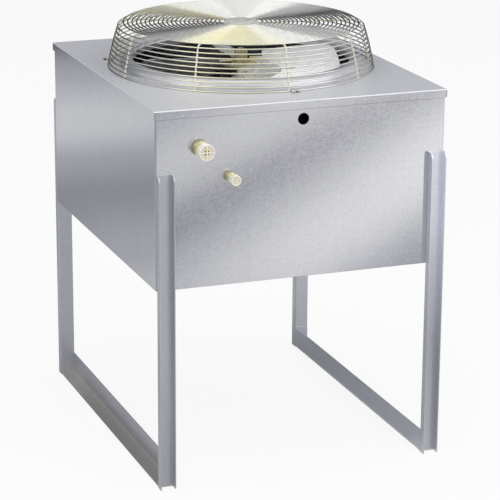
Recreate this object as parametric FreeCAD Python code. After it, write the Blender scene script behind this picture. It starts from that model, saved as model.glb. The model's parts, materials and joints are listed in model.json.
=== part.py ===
import FreeCAD, Part
import os
from math import pi, sin, cos, tan, radians, degrees, sqrt, atan2
from FreeCAD import Vector as V

os.makedirs("parts", exist_ok=True)

# Remote condenser: a sheet-metal box on four channel legs, a flat coil across its open bottom,
# a four-bladed fan under a domed wire guard on top, and two capped pipe couplings on the front.
# Millimetres. X runs to the right, -Y is the front with the couplings, Z is up from the floor.
# Everything is laid out about the fan's axis and moved at the end so that the origin lies at the
# bottom centre of the whole object.

# Cabinet
cover_width = 730.0
cover_depth = 841.0
cover_top = 915.0
cover_sheet = 1.5
cover_lip = 20.0
cover_bend = 2.5
cover_seam = 0.8
panel_inset = 3.0
panel_sheet = 1.2
panel_bottom = 488.0
panel_bend = 3.0
side_flange = 30.0
top_flange = 15.0
bottom_flange = 20.0
flange_relief = 2.0

# Legs and base rails
leg_width = 38.0
leg_flange = 22.0
leg_sheet = 2.0
leg_bend = 3.0
leg_overlap = 277.0
leg_inset = 2.0
leg_corner = 15.0
rail_height = 57.5
rail_sheet = 2.0
rail_bend = 4.0
rail_reach = 36.0

# Rivets and screws of the cabinet
# The rivets of the legs and rails are flush, with a cone-shaped head sunk into the leg
rivet_shank = 2.4
rivet_head = 4.5
rivet_head_height = 1.2
rivet_tail = 3.6
rivet_tail_height = 1.4
leg_rivet_rises = (40.0, 132.0, 247.0)
rail_rivet_heights = (18.0, 42.0)
cover_side_screws = (-280.0, 0.0, 280.0)
cover_rear_screws = (-250.0, 0.0, 250.0)
cover_screw_drop = 11.5
cover_screw_radius = 2.0
cover_screw_head = 3.8
cover_screw_head_height = 1.7
cover_screw_length = 10.0

# Raised fan orifice, drawn up out of the cover
throat_side_margin = 95.0
orifice_height = 24.0
orifice_flare = 30.0
orifice_shoulder = 20.0
orifice_fillet = 4.0
orifice_roll = 4.0
throat_skirt = 16.0

# Wire guard
ring_wire = 1.6
rib_wire = 2.2
weld_sink = 0.3
guard_base_gap = 30.5
guard_waist_inset = 10.5
guard_waist_height = 50.0
guard_neck_inset = 22.0
guard_neck_height = 92.0
guard_crown = 110.0
guard_shoulder = 17.6
side_ring_first = 2.0
side_ring_last = 100.0
side_ring_count = 10
top_ring_first = 57.0
top_ring_inset = 19.5
top_ring_count = 20
rib_count = 9
rib_start_angle = -90.0
rib_inner_end = 34.0
disc_radius = 43.0
disc_sheet = 1.5
disc_crown = 2.4
disc_flat = 27.0
disc_brim = 36.0
clip_count = 3
clip_width = 20.0
clip_sheet = 1.5
clip_gap = 0.2
clip_reach = 17.0
clip_offset_angle = 2.2
clip_screw_radius = 2.0
clip_screw_head = 4.2
clip_screw_head_height = 3.2
clip_screw_length = 9.0

# Fan
fan_tip_gap = 22.0
fan_rise = 6.0
fan_angle = -12.0
blade_count = 4
blade_sheet = 1.6
blade_pitch = 31.0
blade_camber_radius = 330.0
blade_root = 58.0
blade_root_half = 45.0
blade_middle_share = 0.605
blade_middle_width_share = 0.25
blade_half_angle = 15.5
blade_corner = 28.0
blade_root_corner = 10.0
arm_sheet = 3.0
arm_half_width = 22.0
arm_start = 24.0
arm_end = 136.0
arm_corner = 14.0
spider_disc = 52.0
spider_sheet = 4.0
hub_radius = 16.0
hub_below = 16.0
hub_above = 32.0
hub_flange_radius = 44.0
hub_flange_sheet = 4.0
hub_chamfer = 1.5
blade_rivet_places = (74.0, 98.0, 122.0)
blade_rivet_shank = 2.4
blade_rivet_head = 5.0
blade_rivet_head_height = 1.8
rivet_seat_gap = 0.06
hub_rivet_circle = 37.0
set_screw_radius = 3.0
set_screw_stand = 1.0

# Motor
shaft_radius = 6.35
shaft_top_above_hub = 5.0
bearing_running_gap = 0.05
bearing_wall = 6.0
bearing_length = 18.0
motor_radius = 63.5
motor_sheet = 1.5
motor_below_fan = 41.0
motor_height = 138.0
bell_height = 16.0
bell_wall = 3.0
bell_lip = 5.0
bearing_boss_wall = 4.0
stator_bore = 36.0
air_gap = 0.5
stator_height = 70.0
rotor_extra = 6.0
vent_count = 8
vent_radius = 5.0
vent_circle = 42.0
motor_stud_circle = 50.0
motor_stud_radius = 2.5
motor_stud_tail = 14.0
motor_nut_flats = 8.0
motor_nut_height = 4.0

# Motor support
plate_width = 150.0
plate_depth = 180.0
plate_sheet = 2.0
plate_corner = 12.0
plate_window = 22.0
crossbar_width = 36.0
crossbar_height = 26.0
crossbar_sheet = 1.5
crossbar_bend = 2.5
crossbar_offset = 66.0
crossbar_tab = 30.0
plate_screw_spacing = 110.0
plate_screw_radius = 2.5
plate_screw_head = 5.0
plate_screw_head_height = 3.5
plate_screw_length = 8.0

# Coil
coil_side_gap = 37.0
coil_front_gap = 72.5
coil_rear_gap = 52.5
coil_floor_gap = 12.0
coil_height = 66.0
tube_radius = 6.35
tube_pitch = 38.1
tube_side_room = 12.0
tube_stub = 8.0
fin_grooves = 44
fin_groove_width = 6.0
fin_groove_depth = 5.0
coil_plate_sheet = 1.5
coil_plate_gap = 4.8
coil_plate_rise = 9.0
coil_plate_flange = 12.0
tube_hole_gap = 0.05

# Couplings on the front panel
large_side_distance = 114.0
large_drop = 96.0
small_side_distance = 187.0
small_drop = 169.0
large_barrel = 15.0
small_barrel = 9.2
large_stem = 10.5
small_stem = 6.8
large_hex = 34.0
small_hex = 22.0
hex_height = 7.0
coupling_neck_gap = 3.5
cap_end_gap = 0.5
panel_nut_height = 6.0
large_line = 7.9
small_line = 4.8
large_line_depth = 44.5
small_line_depth = 28.5
large_jog_drops = (132.0, 82.0)
small_jog_drops = (146.0, 66.0)
large_line_bend = 19.0
small_line_bend = 12.0

# Caps on the couplings
large_cap_radius = 19.2
small_cap_radius = 12.3
cap_slide_gap = 0.3
large_cap_length = 21.0
small_cap_length = 18.0
cap_floor = 2.5
cap_recess = 3.0
cap_rim = 2.2
large_cap_reach = 41.0
small_cap_reach = 36.0
cross_width = 2.6
cross_hole = 1.8
cross_hole_offset = 5.2
small_dimple = 2.4
grip_rib_count = 12
grip_rib_width = 1.4
grip_rib_rise = 0.5

# Electrical entry
entry_radius = 14.0
entry_drop = 44.5
box_width = 100.0
box_height = 68.0
box_depth = 44.0
box_sheet = 1.2
box_cover_overlap = 3.0
box_screw_radius = 2.0
box_screw_head = 3.6
box_screw_head_height = 2.0
lead_radius = 4.0
lead_x = 20.0
lead_rise = 36.0
lead_bend = 30.0

# Places that follow from the values above
half_w = cover_width / 2
half_d = cover_depth / 2
face_x = half_w - panel_inset
face_y = half_d - panel_inset
panel_top = cover_top - cover_sheet
flange_y = face_y - panel_sheet
leg_outer_x = face_x - leg_inset
leg_inner_x = leg_outer_x - leg_width
leg_centre_x = (leg_outer_x + leg_inner_x) / 2
leg_front_y = face_y + leg_flange
leg_top = panel_bottom + leg_overlap
leg_rivet_heights = [panel_bottom + rise for rise in leg_rivet_rises]
throat_radius = half_w - throat_side_margin
orifice_foot = throat_radius + orifice_flare
guard_base_radius = orifice_foot + guard_base_gap
guard_waist_radius = guard_base_radius - guard_waist_inset
guard_neck_radius = guard_base_radius - guard_neck_inset
top_ring_last = guard_neck_radius - top_ring_inset
fan_radius = throat_radius - fan_tip_gap
fan_z = cover_top + fan_rise
blade_middle = fan_radius * blade_middle_share
blade_middle_half = fan_radius * blade_middle_width_share
motor_top = fan_z - motor_below_fan
motor_base = motor_top - motor_height
coil_half_width = face_x - coil_side_gap
coil_front = -(face_y - coil_front_gap)
coil_rear = face_y - coil_rear_gap
coil_bottom = panel_bottom + coil_floor_gap
coil_plate_half_width = face_x - panel_sheet - coil_plate_gap
tubes_per_row = 2 * int((2 * coil_half_width - tube_side_room) / tube_pitch / 2)
coil_top = coil_bottom + coil_height
row_rise = tube_pitch * sqrt(3) / 2
lower_row = coil_bottom + (coil_height - row_rise) / 2
upper_row = lower_row + row_rise
large_x = -(half_w - large_side_distance)
small_x = -(half_w - small_side_distance)
large_z = cover_top - large_drop
small_z = cover_top - small_drop
large_line_y = -(face_y - large_line_depth)
small_line_y = -(face_y - small_line_depth)
entry_z = cover_top - entry_drop
lead_level = motor_base + lead_rise
cap_face_y = -(face_y + large_cap_reach)
centre_y = (-cap_face_y - leg_front_y) / 2

Z = V(0, 0, 1)
O = V(0, 0, 0)


def box(x0, y0, z0, x1, y1, z1):
    return Part.makeBox(x1 - x0, y1 - y0, z1 - z0, V(x0, y0, z0))


def rod(radius, start, direction, length):
    return Part.makeCylinder(radius, length, start, direction)


def ring(outer, inner, start, direction, length):
    return rod(outer, start, direction, length).cut(rod(inner, start, direction, length))


def turned(shape, angle, centre=O, axis=Z):
    copy = shape.copy()
    copy.rotate(centre, axis, angle)
    return copy


def moved(shape, x, y, z):
    copy = shape.copy()
    copy.translate(V(x, y, z))
    return copy


def mirrored(shape, normal):
    return shape.mirror(O, normal)


def one(shape):
    joined = shape.removeSplitter()
    return joined.Solids[0] if len(joined.Solids) == 1 else joined


def group(solids):
    return Part.makeCompound(solids)


def rounded_path(points, radii):
    """Edges of a polyline through 3-D points, each inner corner rounded with its own radius."""
    edges = []
    last = points[0]
    for k in range(1, len(points) - 1):
        here = points[k]
        back = (points[k - 1] - here).normalize()
        ahead = (points[k + 1] - here).normalize()
        half = back.getAngle(ahead) / 2
        if radii[k - 1] <= 0 or abs(half - pi / 2) < 1e-6:
            edges.append(Part.LineSegment(last, here).toShape())
            last = here
            continue
        reach = radii[k - 1] / tan(half)
        enter = here + back * reach
        leave = here + ahead * reach
        middle = here + (back + ahead).normalize() * (radii[k - 1] / sin(half) - radii[k - 1])
        if (enter - last).Length > 1e-6:
            edges.append(Part.LineSegment(last, enter).toShape())
        edges.append(Part.Arc(enter, middle, leave).toShape())
        last = leave
    edges.append(Part.LineSegment(last, points[-1]).toShape())
    return edges


def bent_sheet(path, sheet, bend):
    """Closed outline of a bent sheet in the XY plane.

    The path is one face of the sheet, which lies to the left of it. Bend is the radius on the
    outside of every fold.
    """
    left = []
    near = []
    far = []
    for k in range(len(path)):
        before = path[k] - path[k - 1] if k > 0 else path[1] - path[0]
        after = path[k + 1] - path[k] if k < len(path) - 1 else before
        a = V(-before.y, before.x, 0).normalize()
        b = V(-after.y, after.x, 0).normalize()
        mean = (a + b).normalize()
        left.append(path[k] + mean * (sheet / mean.dot(a)))
        if 0 < k < len(path) - 1:
            turns_left = before.x * after.y - before.y * after.x > 0
            near.append(bend if turns_left else bend - sheet)
            far.append(bend - sheet if turns_left else bend)
    edges = rounded_path(path, near)
    edges.append(Part.LineSegment(path[-1], left[-1]).toShape())
    edges += rounded_path(left[::-1], far[::-1])
    edges.append(Part.LineSegment(left[0], path[0]).toShape())
    return Part.Face(Part.Wire(Part.__sortEdges__(edges)))


def stand(face, x=0, y=0, z=0):
    """Turns a face drawn in XY so that its X runs along Y and its Y along Z."""
    copy = face.copy()
    copy.rotate(O, V(1, 1, 1), 120)
    copy.translate(V(x, y, z))
    return copy


def pipe(points, radius, bend):
    path = Part.Wire(rounded_path(points, [bend] * (len(points) - 2)))
    start = (points[1] - points[0]).normalize()
    section = Part.Wire(Part.Circle(points[0], start, radius).toShape())
    return path.makePipeShell([section], True, False)


def hexagon(flats, start, direction, length):
    corner = flats / sqrt(3)
    points = [V(corner * cos(k * pi / 3), corner * sin(k * pi / 3), 0) for k in range(7)]
    prism = Part.Face(Part.makePolygon(points)).extrude(V(0, 0, length))
    prism.Placement = FreeCAD.Placement(start, FreeCAD.Rotation(Z, direction))
    return prism


def button(radius, height, start, direction):
    """Low head with a bevelled rim, its flat side at start."""
    rim = height * 0.35
    base = rod(radius, start, direction, rim)
    bevel = Part.makeCone(radius, radius * 0.6, height - rim, start + direction * rim, direction)
    return base.fuse(bevel)


def wire_section(radius, start, outward, tangent):
    """Six-sided section of a thin wire, with one corner pointing outward."""
    side = tangent.cross(outward).normalize()
    points = [start + outward * (radius * cos(k * pi / 3)) + side * (radius * sin(k * pi / 3))
              for k in range(7)]
    return Part.makePolygon(points)


def sunk_head(seat, inward):
    """Cone of a flush rivet's head, which is also the shape of its countersink."""
    return Part.makeCone(rivet_head, rivet_shank, rivet_head_height, seat, inward)


def flush_rivet(seat, inward, grip):
    """Rivet with its head level with the seat point and its tail past the sheets it grips."""
    inner = seat + inward * grip
    shank = rod(rivet_shank, seat, inward, grip)
    tail = rod(rivet_tail, inner, inward, rivet_tail_height)
    return one(shank.fuse([tail, sunk_head(seat, inward)]))


def screw(seat, inward, radius, length, head, head_height):
    shank = rod(radius, seat, inward, length)
    return one(shank.fuse(button(head, head_height, seat, inward * -1)))


def hex_screw(seat, inward, radius, length, head, head_height):
    """Screw with a washer face under a six-sided head."""
    shank = rod(radius, seat, inward, length)
    washer = rod(head, seat, inward * -1, head_height * 0.25)
    cap = hexagon(head * 1.5, seat, inward * -1, head_height)
    return one(shank.fuse([washer, cap]))


# Cabinet sheets

def leg_signs():
    return ((-1, -1), (1, -1), (-1, 1), (1, 1))


def leg_rivet_seats():
    """Points on the outer face of each leg's web, with the direction into the cabinet."""
    seats = []
    for sx, sy in leg_signs():
        for z in leg_rivet_heights:
            seats.append((V(sx * leg_centre_x, sy * (face_y + leg_sheet), z), V(0, -sy, 0)))
    return seats


def rail_rivet_seats():
    seats = []
    for sx, sy in leg_signs():
        for z in rail_rivet_heights:
            seats.append((V(sx * leg_centre_x, sy * (face_y + leg_sheet), z), V(0, -sy, 0)))
    return seats


def drill(shape, seats, radius, length, before=1.0):
    tools = [rod(radius, p - d * before, d, length + before) for p, d in seats]
    return shape.cut(group(tools))


def cover_screw_seats():
    """Screws through the right and rear lips; the other two lips are plain."""
    z = cover_top - cover_screw_drop
    right = [(V(half_w, y, z), V(-1, 0, 0)) for y in cover_side_screws]
    return right + [(V(x, half_d, z), V(0, -1, 0)) for x in cover_rear_screws]


def orifice():
    """The drawn collar: a soft foot, a round shoulder and a rolled throat lip."""
    t = cover_sheet
    foot = orifice_foot + orifice_fillet
    low = orifice_fillet
    shoulder_r = orifice_foot - orifice_shoulder
    roll_r = throat_radius + orifice_roll
    roll_z = orifice_height - orifice_roll
    skirt_z = orifice_height - throat_skirt

    def p(r, z):
        return V(r, 0, cover_top + z)

    def arc(cr, cz, radius, a0, a1):
        places = [radians(a) for a in (a0, (a0 + a1) / 2, a1)]
        return Part.Arc(*[p(cr + radius * cos(a), cz + radius * sin(a)) for a in places]).toShape()

    def line(a, b):
        return Part.LineSegment(p(*a), p(*b)).toShape()

    edges = [
        arc(foot, low, orifice_fillet, 270, 180),
        arc(shoulder_r, low, orifice_shoulder, 0, 90),
        line((shoulder_r, orifice_height), (roll_r, orifice_height)),
        arc(roll_r, roll_z, orifice_roll, 90, 180),
        line((throat_radius, roll_z), (throat_radius, skirt_z)),
        line((throat_radius, skirt_z), (throat_radius + t, skirt_z)),
        line((throat_radius + t, skirt_z), (throat_radius + t, roll_z)),
        arc(roll_r, roll_z, orifice_roll - t, 180, 90),
        line((roll_r, orifice_height - t), (shoulder_r, orifice_height - t)),
        arc(shoulder_r, low, orifice_shoulder - t, 90, 0),
        arc(foot, low, orifice_fillet + t, 180, 270),
        line((foot, -t), (foot, 0)),
    ]
    return Part.Face(Part.Wire(edges)).revolve(O, Z, 360)


def top_cover():
    outer = box(-half_w, -half_d, cover_top - cover_lip, half_w, half_d, cover_top)
    top_edges = [e for e in outer.Edges if e.BoundBox.ZMin > cover_top - 0.1]
    outer = outer.makeFillet(cover_bend, top_edges)
    t = cover_sheet
    inner = box(-half_w + t, -half_d + t, cover_top - cover_lip - 1, half_w - t, half_d - t,
                cover_top - t)
    top_edges = [e for e in inner.Edges if e.BoundBox.ZMin > cover_top - t - 0.1]
    inner = inner.makeFillet(cover_bend - t, top_edges)
    pan = outer.cut(inner)
    seams = []
    for sx, sy in leg_signs():
        x = sx * (half_w - t - cover_seam / 2)
        y = sy * half_d
        seams.append(box(x - cover_seam / 2, y - 2 * t, cover_top - cover_lip - 1,
                         x + cover_seam / 2, y + 2 * t, cover_top - cover_bend))
    pan = pan.cut(group(seams))
    foot = orifice_foot + orifice_fillet
    pan = pan.cut(rod(foot, V(0, 0, cover_top - 10), Z, 20))
    pan = pan.fuse(orifice())
    pan = drill(pan, cover_screw_seats(), cover_screw_radius, 8)
    pan = drill(pan, clip_screw_seats(), clip_screw_radius, 12)
    return one(pan)


def side_panel(sign):
    """Left or right panel: a tray with upright flanges behind the front and rear panels."""
    lip = face_x - side_flange
    path = [V(lip, -flange_y, 0), V(face_x, -flange_y, 0), V(face_x, flange_y, 0),
            V(lip, flange_y, 0)]
    shell = bent_sheet(path, panel_sheet, panel_bend).extrude(V(0, 0, panel_top - panel_bottom))
    shell.translate(V(0, 0, panel_bottom))
    run = flange_y - panel_sheet - flange_relief
    t = panel_sheet
    x1 = face_x - t
    floor = box(x1 - bottom_flange, -run, panel_bottom, x1 + t / 2, run, panel_bottom + t)
    lid = box(x1 - top_flange, -run, panel_top - t, x1 + t / 2, run, panel_top)
    panel = one(shell.fuse([floor, lid]))
    low_edge = [e for e in panel.Edges if abs(e.BoundBox.ZMin - panel_bottom) < 0.01
                and abs(e.BoundBox.ZMax - panel_bottom) < 0.01
                and abs(e.BoundBox.XMin - face_x) < 0.01]
    if low_edge:
        panel = panel.makeFillet(1.0, low_edge)
    panel = drill(panel, leg_rivet_seats(), rivet_shank, 12)
    if sign < 0:
        panel = mirrored(panel, V(1, 0, 0))
    return drill(panel, cover_screw_seats(), cover_screw_radius, 10)


def end_panel(sign):
    """Front or rear panel: a flat sheet with folded top and bottom flanges."""
    reach = face_x - panel_bend
    inside = face_x - side_flange - flange_relief
    t = panel_sheet
    sheet = box(-reach, -face_y, panel_bottom, reach, -face_y + t, panel_top)
    floor = box(-inside, -face_y, panel_bottom, inside, -face_y + t + bottom_flange,
                panel_bottom + t)
    lid = box(-inside, -face_y, panel_top - t, inside, -face_y + t + top_flange, panel_top)
    panel = one(sheet.fuse([floor, lid]))
    folds = [e for e in panel.Edges if abs(e.BoundBox.YMin + face_y) < 0.01
             and abs(e.BoundBox.YMax + face_y) < 0.01
             and abs(e.BoundBox.ZMin - panel_bottom) < 0.01
             and abs(e.BoundBox.ZMax - panel_bottom) < 0.01]
    panel = panel.makeFillet(1.0, folds)
    panel = drill(panel, leg_rivet_seats(), rivet_shank, 12)
    if sign > 0:
        panel = mirrored(panel, V(0, 1, 0))
    return drill(panel, cover_screw_seats(), cover_screw_radius, 10)


def front_panel():
    panel = end_panel(-1)
    back = V(0, 1, 0)
    holes = [rod(entry_radius, V(0, -face_y - 5, entry_z), back, 12),
             rod(large_stem, V(large_x, -face_y - 5, large_z), back, 12),
             rod(small_stem, V(small_x, -face_y - 5, small_z), back, 12)]
    holes += [rod(box_screw_radius, p - d * 5, d, 12) for p, d in box_screw_seats()]
    return panel.cut(group(holes))


def leg(sx, sy):
    """Channel with its web flat on the panel and its flanges pointing away from the cabinet."""
    y0 = face_y
    path = [V(leg_outer_x, y0 + leg_flange, 0), V(leg_outer_x, y0, 0), V(leg_inner_x, y0, 0),
            V(leg_inner_x, y0 + leg_flange, 0)]
    channel = bent_sheet(path[::-1], leg_sheet, leg_bend).extrude(V(0, 0, leg_top))
    outline = box(leg_inner_x - 5, y0, 0, leg_outer_x + 5, y0 + leg_flange, leg_top)
    corner = [e for e in outline.Edges if e.BoundBox.YMin > y0 + leg_flange - 0.1
              and e.BoundBox.ZMin > leg_top - 0.1]
    outline = outline.makeFillet(leg_corner, corner)
    channel = channel.common(outline)
    if sx < 0:
        channel = mirrored(channel, V(1, 0, 0))
    if sy < 0:
        channel = mirrored(channel, V(0, 1, 0))
    seats = leg_rivet_seats() + rail_rivet_seats()
    channel = drill(channel, seats, rivet_shank, 12)
    return channel.cut(group([sunk_head(p, d) for p, d in seats]))


def base_rail(sign):
    """Angle along the floor between two legs, with an upright tab folded at each end."""
    x0 = leg_inner_x
    path = [V(x0, rail_height, 0), V(x0, 0, 0), V(x0 + rail_reach, 0, 0)]
    face = bent_sheet(path, rail_sheet, rail_bend)
    face.rotate(O, V(1, 0, 0), 90)
    rail = face.extrude(V(0, 2 * face_y, 0))
    rail.translate(V(0, -face_y, 0))
    tab = box(x0, face_y - rail_sheet, 0, leg_outer_x - 1, face_y, rail_height)
    tab = tab.makeFillet(6.0, [e for e in tab.Edges if e.BoundBox.XMin > leg_outer_x - 1.1
                               and e.BoundBox.ZMin > rail_height - 0.1])
    rail = one(rail.fuse([tab, mirrored(tab, V(0, 1, 0))]))
    if sign < 0:
        rail = mirrored(rail, V(1, 0, 0))
    return drill(rail, rail_rivet_seats(), rivet_shank, 12)


# Wire guard, drawn about the curve that runs through the centres of its ring wires

def circle_through(a, b, c):
    """Centre and radius, in the plane of radius and height, of the circle through three points."""
    d = 2 * (a[0] * (b[1] - c[1]) + b[0] * (c[1] - a[1]) + c[0] * (a[1] - b[1]))
    sa, sb, sc = [p[0] ** 2 + p[1] ** 2 for p in (a, b, c)]
    x = (sa * (b[1] - c[1]) + sb * (c[1] - a[1]) + sc * (a[1] - b[1])) / d
    y = (sa * (c[0] - b[0]) + sb * (a[0] - c[0]) + sc * (b[0] - a[0])) / d
    return x, y, sqrt((a[0] - x) ** 2 + (a[1] - y) ** 2)


def guard_curve():
    """Side arc, shoulder arc and crown height of the ring centres."""
    side = circle_through((guard_base_radius - ring_wire, 0),
                          (guard_waist_radius - ring_wire, guard_waist_height),
                          (guard_neck_radius - ring_wire, guard_neck_height))
    crown = guard_crown - ring_wire
    bend = guard_shoulder - ring_wire
    cz = crown - bend
    cr = side[0] + sqrt((side[2] - bend) ** 2 - (cz - side[1]) ** 2)
    length = sqrt((cr - side[0]) ** 2 + (cz - side[1]) ** 2)
    meet_z = side[1] + (cz - side[1]) * side[2] / length
    return side, (cr, cz, bend), crown, meet_z


def ring_radius(height):
    side, bend, crown, meet_z = guard_curve()
    cr, cz, radius = side if height <= meet_z else bend
    return cr + sqrt(radius ** 2 - (height - cz) ** 2)


def ring_height(radius):
    side, bend, crown, meet_z = guard_curve()
    if radius <= bend[0]:
        return crown
    return bend[1] + sqrt(bend[2] ** 2 - (radius - bend[0]) ** 2)


def wire_ring(radius, height, outward):
    centre = V(radius, 0, cover_top + height)
    section = wire_section(ring_wire, centre, outward, V(0, 1, 0))
    return Part.Face(section).revolve(O, Z, 360)


def guard_side_rings():
    step = (side_ring_last - side_ring_first) / (side_ring_count - 1)
    heights = [side_ring_first + k * step for k in range(side_ring_count)]
    return group([wire_ring(ring_radius(h), h, V(1, 0, 0)) for h in heights])


def guard_top_rings():
    step = (top_ring_last - top_ring_first) / (top_ring_count - 1)
    radii = [top_ring_first + k * step for k in range(top_ring_count)]
    return group([wire_ring(r, ring_height(r), Z) for r in radii])


def rib_angles():
    return [rib_start_angle + k * 360.0 / rib_count for k in range(rib_count)]


def guard_rib():
    """One formed wire: up the side, round the shoulder and in along the crown."""
    (sr, sz, side), (br, bz, bend), crown, meet_z = guard_curve()
    inset = ring_wire + rib_wire - weld_sink
    side -= inset
    bend -= inset
    crown -= inset

    def p(r, z):
        return V(r, 0, cover_top + z)

    start_a = atan2(-4.0 - sz, sqrt(side ** 2 - (-4.0 - sz) ** 2))
    meet_a = atan2(bz - sz, br - sr)
    arcs = []
    for cr, cz, radius, a0, a1 in ((sr, sz, side, start_a, meet_a), (br, bz, bend, meet_a, pi / 2)):
        arcs.append(Part.Arc(*[p(cr + radius * cos(a), cz + radius * sin(a))
                               for a in (a0, (a0 + a1) / 2, a1)]).toShape())
    inner = Part.LineSegment(p(br, crown), p(rib_inner_end, crown)).toShape()
    path = Part.Wire(arcs + [inner])
    start = arcs[0].valueAt(arcs[0].FirstParameter)
    tangent = arcs[0].tangentAt(arcs[0].FirstParameter)
    section = wire_section(rib_wire, start, tangent.cross(V(0, -1, 0)).normalize(), tangent)
    wire = path.makePipeShell([section], True, False)
    reach = guard_base_radius + 50
    floor = box(guard_base_radius / 2, -50, cover_top - 20, reach, 50, cover_top)
    return wire.cut(floor)


def guard_ribs():
    rib = guard_rib()
    return group([turned(rib, a) for a in rib_angles()])


def guard_centre_disc():
    """Shallow dished plate that closes the crown over the ribs' inner ends."""
    z0 = cover_top + guard_crown - 2 * ring_wire + weld_sink - 0.2
    z1 = z0 + disc_crown
    t = disc_sheet
    outline = [(0, z1), (disc_flat, z1), (disc_brim, z0), (disc_radius, z0),
               (disc_radius, z0 + t), (disc_brim + t, z0 + t), (disc_flat + t, z1 + t),
               (0, z1 + t), (0, z1)]
    profile = Part.makePolygon([V(r, 0, z) for r, z in outline])
    return Part.Face(profile).revolve(O, Z, 360)


def clip_angles():
    return [rib_start_angle + clip_offset_angle + k * 360.0 / clip_count for k in range(clip_count)]


def clip_screw_radius_place():
    return guard_base_radius + clip_reach / 2 + 3.5


def clip_screw_seats():
    seats = []
    for a in clip_angles():
        r = clip_screw_radius_place()
        x, y = r * cos(radians(a)), r * sin(radians(a))
        seats.append((V(x, y, cover_top + clip_sheet), V(0, 0, -1)))
    return seats


def guard_clips():
    """Small straps that step over the lowest ring wire and are screwed to the cover."""
    rise = side_ring_first + ring_wire + clip_gap
    r0 = guard_base_radius - 2 * ring_wire - 2.0
    r1 = guard_base_radius + 2.2
    r2 = guard_base_radius + clip_reach
    path = [V(r0, rise, 0), V(r1, rise, 0), V(r1 + 1.0, 0, 0), V(r2, 0, 0)]
    face = bent_sheet(path, clip_sheet, clip_sheet + 0.8)
    face.rotate(O, V(1, 0, 0), 90)
    strap = face.extrude(V(0, clip_width, 0))
    strap.translate(V(0, -clip_width / 2, cover_top))
    clips = group([turned(strap, a) for a in clip_angles()])
    return drill(clips, clip_screw_seats(), clip_screw_radius, 6, 6)


def guard_clip_screws():
    return group([hex_screw(p, d, clip_screw_radius, clip_screw_length, clip_screw_head,
                            clip_screw_head_height) for p, d in clip_screw_seats()])


# Fan. Each blade is first made along +X through the fan's centre height

def cambered(x0, x1, half_width, offset, sheet):
    """Sheet with a round camber, pitched about the radial line with its +Y edge up."""
    spread = half_width / blade_camber_radius
    low = blade_camber_radius + offset
    high = low + sheet

    def p(r, a):
        return V(x0, r * sin(a), r * cos(a) - blade_camber_radius)

    edges = [
        Part.Arc(p(high, -spread), p(high, 0), p(high, spread)).toShape(),
        Part.LineSegment(p(high, spread), p(low, spread)).toShape(),
        Part.Arc(p(low, spread), p(low, 0), p(low, -spread)).toShape(),
        Part.LineSegment(p(low, -spread), p(high, -spread)).toShape(),
    ]
    shape = Part.Face(Part.Wire(edges)).extrude(V(x1 - x0, 0, 0))
    shape.rotate(O, V(1, 0, 0), blade_pitch)
    return shape


def blade_outline():
    """Upright prism with the paddle's plan outline and rounded tip corners."""
    a = radians(blade_half_angle)
    tip = V(fan_radius * cos(a), fan_radius * sin(a), 0)
    root = V(blade_root, blade_root_half, 0)
    middle = V(blade_middle, blade_middle_half, 0)
    flip = [V(p.x, -p.y, 0) for p in (root, middle, tip)]
    edges = [
        Part.Arc(root, middle, tip).toShape(),
        Part.Arc(tip, V(fan_radius, 0, 0), flip[2]).toShape(),
        Part.Arc(flip[2], flip[1], flip[0]).toShape(),
        Part.LineSegment(flip[0], root).toShape(),
    ]
    prism = Part.Face(Part.Wire(edges)).extrude(V(0, 0, 2 * fan_radius))
    prism.translate(V(0, 0, -fan_radius))
    corners = [e for e in prism.Edges if e.BoundBox.ZLength > fan_radius
               and e.BoundBox.XMin > blade_middle]
    prism = prism.makeFillet(blade_corner, corners)
    roots = [e for e in prism.Edges if e.BoundBox.ZLength > fan_radius
             and e.BoundBox.XMax < blade_middle]
    return prism.makeFillet(blade_root_corner, roots)


def blade_normal():
    a = radians(blade_pitch)
    return V(0, -sin(a), cos(a))


def blade_holes():
    n = blade_normal()
    return group([rod(blade_rivet_shank, V(x, 0, 0) - n * 10, n, 20) for x in blade_rivet_places])


def fan_blade(index):
    wide = 1.5 * fan_radius * sin(radians(blade_half_angle))
    sheet = cambered(blade_root - 5, fan_radius + 5, wide, -arm_sheet - blade_sheet, blade_sheet)
    blade = sheet.common(blade_outline()).cut(blade_holes())
    blade = turned(blade, fan_angle + index * 360.0 / blade_count)
    return moved(blade.Solids[0], 0, 0, fan_z)


def spider_bottom():
    return -spider_sheet


def hub_rivet_places():
    angles = [fan_angle + 45 + k * 90 for k in range(4)]
    return [V(hub_rivet_circle * cos(radians(a)), hub_rivet_circle * sin(radians(a)), 0)
            for a in angles]


def fan_spider():
    """Round plate with four pitched arms that lie on the blades."""
    arm = cambered(arm_start, arm_end, arm_half_width, -arm_sheet, arm_sheet)
    outline = box(arm_start - 1, -arm_half_width - 3, -60, arm_end, arm_half_width + 3, 60)
    ends = [e for e in outline.Edges if e.BoundBox.ZLength > 100
            and e.BoundBox.XMin > arm_end - 1]
    arm = arm.common(outline.makeFillet(arm_corner, ends)).cut(blade_holes())
    arms = [turned(arm, fan_angle + k * 360.0 / blade_count) for k in range(blade_count)]
    disc = rod(spider_disc, V(0, 0, spider_bottom()), Z, spider_sheet)
    spider = disc.fuse(arms)
    under = rod(hub_flange_radius + 1, V(0, 0, spider_bottom() - 30), Z, 30)
    over = rod(hub_radius + 8, V(0, 0, 0), Z, 30)
    bore = rod(hub_radius, V(0, 0, -40), Z, 80)
    holes = [rod(blade_rivet_shank, p - Z * 20, Z, 40) for p in hub_rivet_places()]
    spider = spider.cut(group([under, over, bore] + holes))
    return moved(one(spider), 0, 0, fan_z)


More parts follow.
